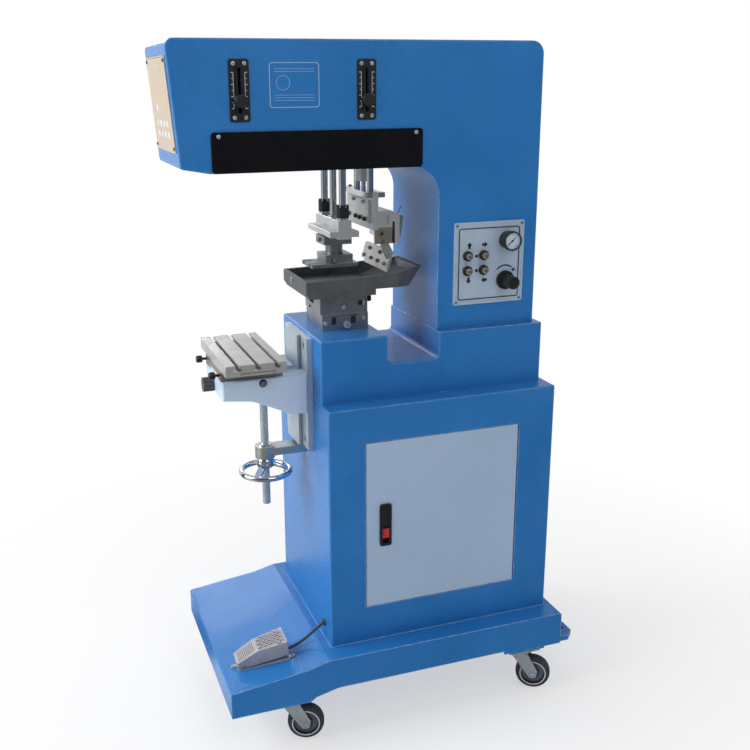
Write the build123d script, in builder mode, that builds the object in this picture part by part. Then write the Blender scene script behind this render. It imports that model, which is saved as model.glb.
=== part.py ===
from build123d import *
from math import atan2, cos, degrees, hypot, radians, sin, tan
import os

os.makedirs("parts", exist_ok=True)

# Pad printing machine on castors, in millimetres.
# +X is the door and control side, -Y the operator's side, +Z up. The origin lies on the floor
# under the middle of the machine. Sizes named as reaches, depths and levels are taken from the
# cabinet's front face and from the upper face of the base.

# Fits and allowances
slide_fit = 0.05
play = 0.3
panel_gap = 1.2
overrun = 6

# Castors
caster_height = 110
caster_seat_depth = 88
wheel_diameter = 82
wheel_width = 28
wheel_hub_width = 30
wheel_hub_diameter = 30
wheel_rim_diameter = 60
wheel_web = 12
tyre_round = 9
axle_diameter = 8
axle_head = 14
axle_head_depth = 5
caster_trail = 33
fork_sheet = 2.5
fork_cup_diameter = 46
fork_cup_depth = 11
fork_leg_top = 40
fork_leg_end = 22
kingpin_diameter = 12
caster_plate_size = 76
caster_plate_thick = 4
race_diameter = 40
race_depth = 5
swivel_front = -101
swivel_rear = 476
yaw_front = 18
yaw_rear = 30

# Base
base_half = 240
swivel_inset = 40
swivel_x = base_half - swivel_inset
base_nose = 242.7
base_rear = 562.2
nose_drop = 34
platform_rear = 70
platform_rear_drop = 12.3
ramp_end = 20
base_sheet = 5
base_edge_round = 4
skirt_nose_depth = 93
skirt_nose_rear = 65
skirt_step_depth = 84
skirt_step = 53
skirt_mid_front = 0
skirt_mid_depth = 72
skirt_rear_start = 413
skirt_rear_depth = 80
shelf_half = 46
shelf_sheet = 6
shelf_width = 92
shelf_inner = base_half - shelf_width
tab_reach = 602
tab_top_depth = 63
tab_thick = 13
tab_corner = 18
anchor_inset = 35
anchor_x = base_half - anchor_inset
anchor_y = 585
anchor_diameter = 14

# Cabinet and its door opening
cabinet_half = 190
cabinet_depth = 542.2
cabinet_height = 557.9
sheet = 4
edge_round = 4
door_front = 84.2
door_rear = 453
door_bottom = 86.1
door_top = 476.4
frame_depth = 24
stop_lip = 10
stop_sheet = 3
cable_hole_inset = 49
cable_hole_x = cabinet_half - cable_hole_inset
cable_hole_z = 37

# Body above the cabinet
mid_half = 144.5
mid_depth = 524.9
deck_rise = 141
deck_height = cabinet_height + deck_rise
deck_rear = 152.3
valley_drop = 62.3
valley_height = deck_height - valley_drop
column_front = 272.5
shoulder_drop = 2.5
shoulder_height = deck_height - shoulder_drop
ledge_round = 10

# Column and head
column_half = 129.8
column_rear = 510.8
head_clearance = 353.1
head_bottom = deck_height + head_clearance
head_top_rise = 251.5
head_top = head_bottom + head_top_rise
head_round = 16
head_rear_round = 27
arch_round = 65
chin_front = 212.5
chin_corner_reach = 270.3
chin_corner_height_rise = 10.5
chin_corner_height = head_bottom + chin_corner_height_rise
chin_round = 8
head_top_reach = 288.8
head_mouth_front = -198
head_mouth_rear = 203
mouth_lip = 12

# Front panel of the head
panel_half = 112
panel_bottom_rise = 39
panel_bottom = head_bottom + panel_bottom_rise
panel_top_rise = 221
panel_top = head_bottom + panel_top_rise
panel_thick = 2
panel_corner = 6
panel_screw_inset = 9
panel_screw_diameter = 7

# Plates on the side of the head
sign_front = -209
sign_rear = 232.8
sign_height = 78.6
sign_thick = 3
sign_corner = 7
sign_hole_inset = 15
sign_hole_drop = 8
sign_hole = 6
slot_plate_y = (-149.6, 109.9)
slot_plate_width = 40
slot_plate_bottom_rise = 97
slot_plate_bottom = head_bottom + slot_plate_bottom_rise
slot_plate_top_rise = 213.7
slot_plate_top = head_bottom + slot_plate_top_rise
slot_plate_thick = 2
slot_plate_corner = 5
slot_bar_width = 14
slot_bar_height = 3
slot_bar_inset = 8
slot_width = 7
slot_inset = 16
stroke_knob_z_rise = 39
stroke_knob_z = slot_plate_bottom + stroke_knob_z_rise
stroke_knob_diameter = 26
stroke_knob_depth = 13
stroke_stem_diameter = 6.6
stroke_nut = 14
stroke_nut_depth = 5

# Control panel, its valves, gauge and regulator
control_front = 309.2
control_rear = 478.3
control_bottom_rise = 50.6
control_bottom = deck_height + control_bottom_rise
control_top_rise = 180.5
control_top = control_bottom + control_top_rise
control_thick = 3
control_corner = 5
control_rim = 4
control_recess = 1
control_window_inset = 14
flow_y = (341, 379.5)
flow_rises = (108, 75.5)
flow_z = tuple(control_bottom + rise for rise in flow_rises)
flow_knob_diameter = 21
flow_knob_collar = 7
flow_knob_cap_diameter = 14
flow_knob_length = 15
flow_knob_bore_depth = 9
flow_neck_diameter = 9
flow_body_size = 20
flow_body_depth = 34
gauge_y = 437
gauge_z_rise = 138.5
gauge_z = control_bottom + gauge_z_rise
gauge_diameter = 43
gauge_depth = 30
gauge_rim = 3
gauge_recess = 6
gauge_round = 2
gauge_stem = 10
gauge_stem_depth = 24
needle_hub = 5
needle_length = 14
needle_tail = 5
needle_width = 1.6
needle_thick = 0.8
needle_pin = 1.6
needle_angle = 218
regulator_y = 434
regulator_z_rise = 49.5
regulator_z = control_bottom + regulator_z_rise
regulator_ring = 41
regulator_ring_depth = 6
regulator_neck = 20
regulator_neck_depth = 16
regulator_body = 44
regulator_body_depth = 40
regulator_knob_diameter = 28.5
regulator_knob_start = 8
regulator_knob_end = 45
regulator_flutes = 12
regulator_flute = 3

# Door, pivots and latch
door_skin = 3
door_edge = 16
door_round = 4
pivot_inset_y = 8
pivot_inset_x = 7
pivot_pin = 5
pivot_head = 5.8
pivot_reach = 9
pivot_seat = 12
pivot_lug = 14
latch_front = 115.5
latch_rear = 142.8
latch_bottom = 231.4
latch_top = 330.9
latch_corner = 5
latch_proud = 4
latch_deep = 10
latch_wall = 3
latch_floor = 3
lever_bottom = 277
lever_thick = 9
lever_pin = 4
lever_drop = 9
button_bottom = 250.5
button_top = 272.5
button_stem = 6
button_thick = 7

# Table guide, bracket and lift
guide_half = 85
guide_thick = 13
guide_top_drop = 6.9
guide_top = deck_height - guide_top_drop
guide_bottom_drop = 255
guide_bottom = guide_top - guide_bottom_drop
rail_front = 23
rail_half_front = 45
rail_half_root = 38
guide_hole_x = 60
guide_hole_inset = 19.5
guide_hole = 9
guide_head = 15
guide_head_depth = 6
screw_y = -91.2
lug_half = 21
lug_bottom_drop = 27
lug_bottom = guide_bottom - lug_bottom_drop
lug_top_rise = 18
lug_top = lug_bottom + lug_top_rise
boss_diameter = 46
boss_bottom_drop = 7
boss_bottom = lug_bottom - boss_bottom_drop
boss_top_rise = 21
boss_top = lug_bottom + boss_top_rise
bush_diameter = 35
bush_bore = 26
bush_flange = 1
screw_diameter = 18
screw_bottom_drop = 115
screw_bottom = boss_bottom - screw_bottom_drop
screw_seat = 12
screw_chamfer = 1.5
handwheel_diameter = 123
handwheel_rim = 13
handwheel_hub = 38
handwheel_hub_bottom_drop = 25
handwheel_hub_bottom = boss_bottom - handwheel_hub_bottom_drop
handwheel_level_drop = 9
handwheel_level = handwheel_hub_bottom - handwheel_level_drop
handwheel_ring = 31
handwheel_ring_depth = 2.5
handwheel_spokes = 3
handwheel_start_turn = -35
spoke_width = 15
spoke_thick = 6
bracket_half = 88
bracket_reach = 200
bracket_belly_reach = 137
bracket_knee_reach = 73
bracket_foot_reach = 50
bracket_round = 30
way_half = 36
way_half_root = 30
way_height = 8
cross_half = 80
cross_rear = 66
table_half = 132
table_reach = 201
table_rear = 71
table_top_drop = 30
table_top = guide_top - table_top_drop
cross_top_drop = 24
cross_top = table_top - cross_top_drop
bracket_top_drop = 23
bracket_top = cross_top - bracket_top_drop
bracket_nose_drop = 42
bracket_nose = bracket_top - bracket_nose_drop
bracket_belly_drop = 49
bracket_belly = bracket_top - bracket_belly_drop
bracket_knee_drop = 77
bracket_knee = bracket_top - bracket_knee_drop
bracket_foot_drop = 89
bracket_foot = bracket_top - bracket_foot_drop
bracket_bottom_at_screw_drop = 69
bracket_bottom_at_screw = bracket_top - bracket_bottom_at_screw_drop
tee_places = (-176, -134, -92)
tee_neck = 8
tee_width = 17
tee_top_drop = 6
tee_top = table_top - tee_top_drop
tee_bottom_drop = 7
tee_bottom = tee_top - tee_bottom_drop
table_round = 1
feed_knob_x = -10
feed_knob_z_drop = 29
feed_knob_z = bracket_top - feed_knob_z_drop
feed_knob_diameter = 32
feed_knob_depth = 24
feed_knob_flutes = 12
feed_flute = 4
feed_shaft = 10
feed_shaft_reach = 60
clamp_x = 70
clamp_z_drop = 10
clamp_z = cross_top - clamp_z_drop
clamp_stem = 6
clamp_stem_start = 12
clamp_stem_free = 11
clamp_knob = 16
clamp_knob_depth = 13

# Cliche stage and ink tray
stage_half = 59
stage_front = 32
stage_rear = 138
stage_rail_half = 34
stage_rail_root = 28
stage_rail_height = 8
stage_split_rise = 36.1
stage_split = deck_height + stage_split_rise
stage_slide_half = 55
stage_slide_inset = 3
stage_window_half = 17
stage_window_height = 14
stage_window_depth = 12
stage_window_z_rise = 16
stage_window_z = stage_split + stage_window_z_rise
stage_groove_height = 5
stage_groove_depth = 6
stage_groove_z_drop = 5
stage_groove_z = stage_split - stage_groove_z_drop
stage_groove_front = 52
stage_groove_rear = 112
stage_bolt_y = 83
stage_bolt_z_rise = 14
stage_bolt_z = stage_split + stage_bolt_z_rise
stage_bolt_hole = 16
stage_bolt_depth = 5
stage_knob_x = 20
stage_knob_z_rise = 22
stage_knob_z = stage_split + stage_knob_z_rise
stage_knob_diameter = 15
stage_knob_length = 20
stage_knob_shaft = 6
stage_knob_seat = 14
tray_half = 88
tray_front = -12
tray_rear = 261
tray_rear_half = 65
tray_taper_start = 196
tray_rim_mid_rear = 158
tray_foot_level_rise = 43
tray_foot_level = stage_split + tray_foot_level_rise
tray_front_bottom_rise = 12
tray_front_bottom = tray_foot_level + tray_front_bottom_rise
tray_foot_front = -4
tray_foot_rear = 146
tray_rear_bottom_rise = 13
tray_rear_bottom = tray_foot_level + tray_rear_bottom_rise
tray_rear_bottom_end = 227
tray_wall = 5
tray_floor_rise = 16
tray_floor = tray_foot_level + tray_floor_rise
tray_rim_rear_rise = 37
tray_rim_rear = tray_floor + tray_rim_rear_rise
tray_rim_mid_rise = 26
tray_rim_mid = tray_floor + tray_rim_mid_rise
tray_rim_front_rise = 22
tray_rim_front = tray_floor + tray_rim_front_rise
tray_floor_rear = 168
tray_sump_rise_rise = 24
tray_sump_rise = tray_floor + tray_sump_rise_rise
tray_rear_wall = 8
tray_draft = 7
plate_half = 72
plate_front = 2
plate_rear = 152
plate_thick = 6
plate_corner = 4

# Carriage inside the head, with its rails and drive
rail_x = 95
rail_z_rise = 78
rail_z = head_bottom + rail_z_rise
shaft_diameter = 20
shaft_front = -255
shaft_rear = 272
rail_block_depth = 20
rail_block_half_height = 24
barrel_diameter = 40
barrel_bore = 32
barrel_front = 250
barrel_rear = 500
barrel_cap = 10
drive_rod = 12
drive_rod_end = 487
carriage_half = 112
carriage_front = 40
carriage_rear = 226
carriage_plate_bottom_rise = 12
carriage_plate_bottom = head_bottom + carriage_plate_bottom_rise
carriage_plate_thick = 12
bearing_half = 17
bearing_height = 42
pad_y = 80
pad_rod_x = 62
pad_rod_diameter = 16
pad_centre_rod = 15
pad_rod_top_rise = 221
pad_rod_top = carriage_plate_bottom + pad_rod_top_rise
pad_bush = 28
pad_bush_bottom_drop = 9
pad_bush_bottom = carriage_plate_bottom - pad_bush_bottom_drop
pad_bush_top_rise = 106
pad_bush_top = carriage_plate_bottom + pad_bush_top_rise
pad_cylinder = 50
pad_cylinder_top_rise = 228
pad_cylinder_top = carriage_plate_bottom + pad_cylinder_top_rise
squeegee_y = 150
squeegee_cylinder = 34
squeegee_cylinder_bottom_drop = 49
squeegee_cylinder_bottom = carriage_plate_bottom - squeegee_cylinder_bottom_drop
squeegee_cylinder_top_rise = 136
squeegee_cylinder_top = carriage_plate_bottom + squeegee_cylinder_top_rise
squeegee_rod = 10.6
squeegee_rod_top_rise = 116
squeegee_rod_top = carriage_plate_bottom + squeegee_rod_top_rise
squeegee_guide_x = 42
squeegee_guide = 14.5
squeegee_bush = 24
squeegee_bush_bottom_drop = 12
squeegee_bush_bottom = carriage_plate_bottom - squeegee_bush_bottom_drop
squeegee_bush_top_rise = 86
squeegee_bush_top = carriage_plate_bottom + squeegee_bush_top_rise
carriage_window_half = 30

# Pad beam, clamp and mounting plate
washer_diameter = 24
washer_thick = 4
collar_diameter = 27
collar_height = 27
collar_notches = 6
collar_notch = 5
collar_notch_depth = 5
beam_half = 79
beam_front = 65
beam_rear = 94
beam_bottom_drop = 151
beam_bottom = head_bottom - beam_bottom_drop
beam_top_rise = 40
beam_top = beam_bottom + beam_top_rise
flange_front = 46
flange_rear = 111
flange_bottom_rise = 4
flange_bottom = beam_bottom + flange_bottom_rise
flange_top_rise = 17
flange_top = beam_bottom + flange_top_rise
beam_round = 2
clamp_half = 30
clamp_front = 48
clamp_rear = 112
clamp_bottom_drop = 18
clamp_bottom = beam_bottom - clamp_bottom_drop
neck_diameter = 38
neck_bottom_drop = 22
neck_bottom = clamp_bottom - neck_bottom_drop
holder_half = 32
holder_front = 51
holder_rear = 113
holder_bottom_drop = 18
holder_bottom = neck_bottom - holder_bottom_drop
pad_plate_half = 39
pad_plate_front = 17
pad_plate_rear = 124
pad_plate_bottom_drop = 8
pad_plate_bottom = holder_bottom - pad_plate_bottom_drop
pad_slot_width = 8
pad_slot_length = 24
pad_slot_x = 22

# Squeegee bracket and blade holder
crossbar_half = 79
crossbar_front = 131
crossbar_rear = 170
crossbar_bottom_drop = 66
crossbar_bottom = head_bottom - crossbar_bottom_drop
crossbar_top_rise = 11
crossbar_top = crossbar_bottom + crossbar_top_rise
hanger_front = 141
hanger_rear = 153
hanger_bottom_drop = 68
hanger_bottom = crossbar_bottom - hanger_bottom_drop
face_half = 65
face_front = 137
face_bottom_drop = 55
face_bottom = crossbar_bottom - face_bottom_drop
face_top_drop = 7
face_top = crossbar_bottom - face_top_drop
arm_thick = 5
arm_top_rise = 14
arm_top = crossbar_bottom + arm_top_rise
bar_rear = 185
bar_bottom_drop = 69
bar_bottom = crossbar_bottom - bar_bottom_drop
bar_top_drop = 29
bar_top = crossbar_bottom - bar_top_drop
bar_slot_front = 171
bar_slot_rear = 179.5
bar_slot_bottom_rise = 10
bar_slot_bottom = bar_bottom + bar_slot_bottom_rise
bar_slot_top_rise = 31
bar_slot_top = bar_bottom + bar_slot_top_rise
cheek_thick = 7
cheek_front = 147
cheek_rear = 187
cheek_bottom_drop = 99
cheek_bottom = crossbar_bottom - cheek_bottom_drop
back_front = 193
back_rear = 204
back_bottom_drop = 100
back_bottom = crossbar_bottom - back_bottom_drop
back_top_drop = 35
back_top = crossbar_bottom - back_top_drop
blade_pivot_y = 163
blade_pivot_z_rise = 18
blade_pivot_z = cheek_bottom + blade_pivot_z_rise
blade_pivot = 8
blade_ear_thick = 7
blade_ear_radius = 9
blade_holder_half = 79
blade_holder_top_drop = 37
blade_holder_top = blade_pivot_z - blade_holder_top_drop
blade_holder_top_y = 191
blade_holder_bottom_drop = 72
blade_holder_bottom = blade_pivot_z - blade_holder_bottom_drop
blade_holder_bottom_y = 180.5
blade_holder_thick = 7
blade_tip_drop = 10
blade_tip = blade_holder_bottom - blade_tip_drop
blade_thick = 1.2
blade_half = 74

# Foot switch, its cable and the grommet
pedal_inset = 96.5
pedal_x = base_half - pedal_inset
pedal_reach = 208
pedal_yaw = 2.2
pedal_length = 116
pedal_half_front = 23
pedal_half_rear = 32
pedal_sole = 3
pedal_front_height = 20
pedal_break = 48
pedal_break_height = 40
pedal_rear_height = 46
pedal_wall = 2.5
pedal_skirt_gap = 1.5
pedal_skirt_rise = 9
pedal_pivot_y = 14
pedal_pivot_z = 11
pedal_pivot = 4
pedal_flange = 2
pedal_core_half = 12
pedal_core_front = 30
pedal_core_rear = 96
pedal_core_height = 19
pedal_post_half = 9
pedal_post_thick = 4
pedal_ear = 9
pedal_ear_reach = 9
pedal_ear_hole = 4.5
pedal_ear_rear_x = 22
rib_height = 1.2
rib_width = 2.4
rib_count = 7
fine_rib_count = 11
fine_rib_width = 1.6
cable_diameter = 6
grommet_diameter = 17
grommet_lip = 4
grommet_neck = 11
gland_diameter = 11

# Pneumatic manifold inside the cabinet
manifold_x = -90
manifold_half = 34
manifold_front = 180
manifold_rear = 360
manifold_height = 30
manifold_valves = 3
valve_height = 42
valve_width = 28
valve_gap = 30
valve_half = 24

# Levels and places that follow from the sizes above
base_top = caster_height + caster_seat_depth
head_lean_share = (head_top_reach - chin_corner_reach) / (head_top - chin_corner_height)
panel_top_reach = chin_corner_reach + (panel_top - chin_corner_height) * head_lean_share
panel_reach = panel_top_reach + panel_thick
front = (panel_reach - tab_reach) / 2
platform_slope_share = (nose_drop - platform_rear_drop) / (base_nose - platform_rear)


# Planes and forms that several pieces share
def side(x=0):
    return Plane(origin=(x, front, base_top), x_dir=(0, 1, 0), z_dir=(1, 0, 0))


def level(z=0):
    return Plane(origin=(0, front, base_top + z))


def facing(y=0):
    return Plane(origin=(0, front + y, base_top), x_dir=(1, 0, 0), z_dir=(0, -1, 0))


def place(x, y, z):
    return (x, front + y, base_top + z)


def prism(plane, points, depth, radii=0, both=False, mode=Mode.ADD):
    """Extrude a closed outline along the plane's normal."""
    with BuildSketch(plane) as outline:
        with BuildLine():
            if radii:
                FilletPolyline(*points, radius=radii, close=True)
            else:
                Polyline(*points, close=True)
        make_face()
    extrude(outline.sketch, amount=depth, both=both, mode=mode)


def panel(plane, across, along, depth, corner=0, mode=Mode.ADD):
    """Extrude a rectangle between two pairs of coordinates of the plane."""
    with BuildSketch(plane) as outline:
        with Locations(((across[0] + across[1]) / 2, (along[0] + along[1]) / 2)):
            if corner:
                RectangleRounded(across[1] - across[0], along[1] - along[0], corner)
            else:
                Rectangle(across[1] - across[0], along[1] - along[0])
    extrude(outline.sketch, amount=depth, mode=mode)


def bar(plane, centre, diameter, depth, mode=Mode.ADD):
    """Extrude a circle along the plane's normal."""
    with BuildSketch(plane) as outline:
        with Locations(centre):
            Circle(diameter / 2)
    extrude(outline.sketch, amount=depth, mode=mode)


def turned(origin, direction, points, mode=Mode.ADD):
    """Revolve a closed outline of (radius, height) points about a line."""
    direction = Vector(*direction)
    radial = Vector(1, 0, 0) if direction.Z else Vector(-direction.Y, direction.X, 0)
    plane = Plane(origin=origin, x_dir=radial, z_dir=radial.cross(direction))
    with BuildSketch(plane) as outline:
        with BuildLine():
            Polyline(*points, close=True)
        make_face()
    revolve(outline.sketch, axis=Axis(origin, direction), mode=mode)


def fluted(plane, diameter, depth, flutes, flute):
    """A knob body with round flutes cut along its edge."""
    with BuildSketch(plane) as outline:
        Circle(diameter / 2)
        with PolarLocations(diameter / 2, flutes):
            Circle(flute / 2, mode=Mode.SUBTRACT)
    extrude(outline.sketch, amount=depth)


def save(builder, name):
    builder.part.label = name
    export_step(builder.part, "parts/" + name + ".step")


# Base: a folded tray with a dropped front platform, open below, with shelves for the castors
base_outline = [
    (-base_nose, -skirt_nose_depth),
    (-base_nose, -nose_drop),
    (-platform_rear, -platform_rear_drop),
    (-ramp_end, 0),
    (base_rear, 0),
    (base_rear, -skirt_rear_depth),
    (skirt_rear_start, -skirt_rear_depth),
    (skirt_rear_start, -skirt_mid_depth),
    (skirt_mid_front, -skirt_mid_depth),
    (-skirt_step, -skirt_step_depth),
    (-skirt_nose_rear, -skirt_nose_depth),
]
hollow_outline = [
    (-base_nose + base_sheet, -skirt_nose_depth - overrun),
    (-base_nose + base_sheet, -nose_drop - base_sheet),
    (-platform_rear, -platform_rear_drop - base_sheet),
    (-ramp_end, -base_sheet),
    (base_rear - base_sheet, -base_sheet),
    (base_rear - base_sheet, -skirt_nose_depth - overrun),
]
with BuildPart() as base_frame:
    prism(side(), base_outline, base_half, both=True)
    fillet(base_frame.edges().filter_by(Axis.X).group_by(Axis.Z)[-1], base_edge_round)
    top_front = base_frame.edges().filter_by(Axis.X).group_by(Axis.Y)[0].sort_by(Axis.Z)[-1]
    fillet(top_front, base_edge_round)
    prism(side(), hollow_outline, base_half - base_sheet, both=True, mode=Mode.SUBTRACT)
    for swivel_y in (swivel_front, swivel_rear):
        for turn in (-1, 1):
            inner = turn * shelf_inner
            outer = turn * (base_half - base_sheet)
            panel(
                level(-caster_seat_depth),
                (min(inner, outer), max(inner, outer)),
                (swivel_y - shelf_half, swivel_y + shelf_half),
                shelf_sheet,
            )
            for web_y in (swivel_y - shelf_half, swivel_y + shelf_half - shelf_sheet):
                web_top = min(0, -nose_drop + (base_nose + web_y) * platform_slope_share)
                panel(
                    facing(web_y),
                    (min(inner, outer), max(inner, outer)),
                    (-caster_seat_depth, web_top - base_sheet / 2),
                    -shelf_sheet,
                )
    # Rear tab with the anchor holes
    prism(
        level(-tab_top_depth),
        [
            (-base_half, base_rear - base_sheet),
            (base_half, base_rear - base_sheet),
            (base_half, tab_reach - tab_corner),
            (base_half - tab_corner, tab_reach),
            (-base_half + tab_corner, tab_reach),
            (-base_half, tab_reach - tab_corner),
        ],
        -tab_thick,
    )
    for turn in (-1, 1):
        bar(level(-tab_top_depth + overrun), (turn * anchor_x, anchor_y), anchor_diameter,
            -tab_thick - 2 * overrun, mode=Mode.SUBTRACT)
save(base_frame, "base_frame")

# Cabinet: a folded steel box without a floor, with a framed door opening on the right side
opening_front = door_front - panel_gap
opening_rear = door_rear + panel_gap
opening_bottom = door_bottom - panel_gap
opening_top = door_top + panel_gap
with BuildPart() as cabinet_shell:
    panel(level(), (-cabinet_half, cabinet_half), (0, cabinet_depth), cabinet_height, corner=edge_round)
    fillet(cabinet_shell.faces().sort_by(Axis.Z)[-1].edges(), edge_round - play)
    panel(level(-overrun), (-cabinet_half + sheet, cabinet_half - sheet),
          (sheet, cabinet_depth - sheet), cabinet_height - sheet + overrun, mode=Mode.SUBTRACT)
    panel(side(cabinet_half - frame_depth), (opening_front - sheet, opening_rear + sheet),
          (opening_bottom - sheet, opening_top + sheet), frame_depth - sheet / 2)
    panel(side(cabinet_half - frame_depth - overrun),
          (opening_front + stop_lip, opening_rear - stop_lip),
          (opening_bottom + stop_lip, opening_top - stop_lip), frame_depth, mode=Mode.SUBTRACT)
    panel(side(cabinet_half - frame_depth + stop_sheet), (opening_front, opening_rear),
          (opening_bottom, opening_top), frame_depth + overrun, mode=Mode.SUBTRACT)
    # Seats of the door pivots in the top and bottom of the frame
    pivot_x = cabinet_half - pivot_inset_x
    pivot_y = door_rear - pivot_inset_y
    bar(level(opening_bottom - sheet - overrun), (pivot_x, pivot_y), pivot_pin + 2 * slide_fit,
        sheet + 2 * overrun, mode=Mode.SUBTRACT)
    bar(level(opening_top - overrun), (pivot_x, pivot_y), pivot_pin + 2 * slide_fit,
        sheet + 2 * overrun, mode=Mode.SUBTRACT)
    bar(facing(-overrun), (cable_hole_x, cable_hole_z), grommet_neck + 2 * slide_fit,
        -sheet - 2 * overrun, mode=Mode.SUBTRACT)
save(cabinet_shell, "cabinet_shell")

# Body above the cabinet, with the valley between its front deck and the column
with BuildPart() as mid_housing:
    prism(
        side(),
        [
            (0, cabinet_height),
            (0, deck_height),
            (deck_rear, deck_height),
            (deck_rear, valley_height),
            (column_front, valley_height),
            (column_front, shoulder_height),
            (mid_depth, shoulder_height),
            (mid_depth, cabinet_height),
        ],
        mid_half,
        both=True,
    )
    valley_edges = mid_housing.edges().filter_by(Axis.X).filter_by_position(
        Axis.Z, base_top + valley_height - sheet, base_top + valley_height + sheet)
    fillet(valley_edges, ledge_round)
    deck_edges = mid_housing.edges().filter_by(Axis.X).group_by(Axis.Z)[-1]
    fillet(deck_edges, edge_round)
    fillet(mid_housing.edges().filter_by(Axis.Z).group_by(Axis.Y)[0], edge_round)
    prism(
        side(),
        [
            (sheet, cabinet_height - overrun),
            (sheet, deck_height - sheet),
            (deck_rear - sheet, deck_height - sheet),
            (deck_rear - sheet, valley_height - sheet),
            (column_front + sheet, valley_height - sheet),
            (column_front + sheet, shoulder_height - sheet),
            (mid_depth - sheet, shoulder_height - sheet),
            (mid_depth - sheet, cabinet_height - overrun),
        ],
        mid_half - sheet,
        both=True,
        mode=Mode.SUBTRACT,
    )
save(mid_housing, "mid_housing")

# Column and head: one welded hood, its underside open for the carriage
head_points = [
    (-chin_front, head_bottom),
    (-chin_corner_reach, chin_corner_height),
    (-head_top_reach, head_top),
    (column_rear, head_top),
    (column_rear, shoulder_height),
    (column_front, shoulder_height),
    (column_front, head_bottom),
]
head_radii = [0, chin_round, head_round, head_rear_round, 0, 0, arch_round]
with BuildPart() as head_housing:
    with BuildSketch(side()) as head_profile:
        with BuildLine():
            FilletPolyline(*head_points, radius=head_radii, close=True)
        make_face()
    with BuildSketch(side()) as head_hollow:
        with BuildLine():
            FilletPolyline(*head_points, radius=head_radii, close=True)
        make_face()
        offset(amount=-sheet, kind=Kind.INTERSECTION)
    extrude(head_profile.sketch, amount=column_half, both=True)
    fillet(head_housing.faces().sort_by(Axis.Z)[-1].edges().filter_by(Axis.Y), sheet - play)
    extrude(head_hollow.sketch, amount=column_half - sheet, both=True, mode=Mode.SUBTRACT)
    panel(level(head_bottom - overrun), (-column_half + mouth_lip, column_half - mouth_lip),
          (head_mouth_front, head_mouth_rear), sheet + 2 * overrun, mode=Mode.SUBTRACT)
    # Slots for the stroke stops, and holes behind the control panel
    for slot_y in slot_plate_y:
        panel(side(column_half - sheet - overrun), (slot_y - slot_width / 2, slot_y + slot_width / 2),
              (slot_plate_bottom + slot_inset, slot_plate_top - slot_inset),
              sheet + 2 * overrun, mode=Mode.SUBTRACT)
    panel(side(column_half - sheet - overrun),
          (control_front + control_window_inset, control_rear - control_window_inset),
          (control_bottom + control_window_inset, control_top - control_window_inset),
          sheet + 2 * overrun, mode=Mode.SUBTRACT)
save(head_housing, "head_housing")

# Front panel on the leaning face of the head, with its four screws
lean = atan2(head_top_reach - chin_corner_reach, head_top - chin_corner_height)
panel_middle = (panel_bottom + panel_top) / 2
panel_middle_reach = chin_corner_reach + (panel_middle - chin_corner_height) * head_lean_share
lean_plane = Plane(
    origin=place(0, -panel_middle_reach, panel_middle),
    x_dir=(1, 0, 0),
    z_dir=(0, -cos(lean), -sin(lean)),
)
panel_half_height = (panel_top - panel_bottom) / 2
with BuildPart() as head_front_panel:
    panel(lean_plane, (-panel_half, panel_half), (-panel_half_height, panel_half_height),
          panel_thick, corner=panel_corner)
    with BuildSketch(lean_plane) as screw_holes:
        with GridLocations(2 * (panel_half - panel_screw_inset),
                           2 * (panel_half_height - panel_screw_inset), 2, 2):
            Circle(panel_screw_diameter / 4)
    extrude(screw_holes.sketch, amount=panel_thick + overrun, mode=Mode.SUBTRACT)
save(head_front_panel, "head_front_panel")

# Sign plate along the lower edge of the head, left blank, with two hanging holes
with BuildPart() as sign_plate:
    panel(side(column_half), (sign_front, sign_rear), (head_bottom, head_bottom + sign_height),
          sign_thick, corner=sign_corner)
    for hole_y in (sign_front + sign_hole_inset, sign_rear - sign_hole_inset):
        bar(side(column_half - overrun), (hole_y, head_bottom + sign_height - sign_hole_drop), sign_hole,
            sign_thick + 2 * overrun, mode=Mode.SUBTRACT)
save(sign_plate, "sign_plate")

# Two slotted plates in which the stroke stops are set
with BuildPart() as slot_plates:
    for slot_y in slot_plate_y:
        panel(side(column_half), (slot_y - slot_plate_width / 2, slot_y + slot_plate_width / 2),
              (slot_plate_bottom, slot_plate_top), slot_plate_thick, corner=slot_plate_corner)
        panel(side(column_half + slot_plate_thick),
              (slot_y - slot_bar_width / 2, slot_y + slot_bar_width / 2),
              (slot_plate_bottom + slot_bar_inset, slot_plate_top - slot_bar_inset), slot_bar_height)
        panel(side(column_half - overrun), (slot_y - slot_width / 2, slot_y + slot_width / 2),
              (slot_plate_bottom + slot_inset, slot_plate_top - slot_inset),
              slot_plate_thick + slot_bar_height + 2 * overrun, mode=Mode.SUBTRACT)
save(slot_plates, "slot_plates")

# Stroke stop knobs: a black grip outside, its stem through the slot, a clamp nut inside
stroke_face = column_half + slot_plate_thick + slot_bar_height + play
for knob_name, slot_y in zip(("stroke_knob_front", "stroke_knob_rear"), slot_plate_y):
    with BuildPart() as stroke_knob:
        turned(place(stroke_face, slot_y, stroke_knob_z), (1, 0, 0), [
            (0, 0),
            (stroke_knob_diameter / 2, 0),
            (stroke_knob_diameter / 2, stroke_knob_depth - edge_round / 2),
            (stroke_knob_diameter / 2 - edge_round / 2, stroke_knob_depth),
            (0, stroke_knob_depth),
        ])
        bar(side(column_half - sheet - play), (slot_y, stroke_knob_z), stroke_stem_diameter,
            sheet + slot_plate_thick + slot_bar_height + 3 * play)
        panel(side(column_half - sheet - play), (slot_y - stroke_nut / 2, slot_y + stroke_nut / 2),
              (stroke_knob_z - stroke_nut / 2, stroke_knob_z + stroke_nut / 2), -stroke_nut_depth)
    save(stroke_knob, knob_name)

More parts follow.
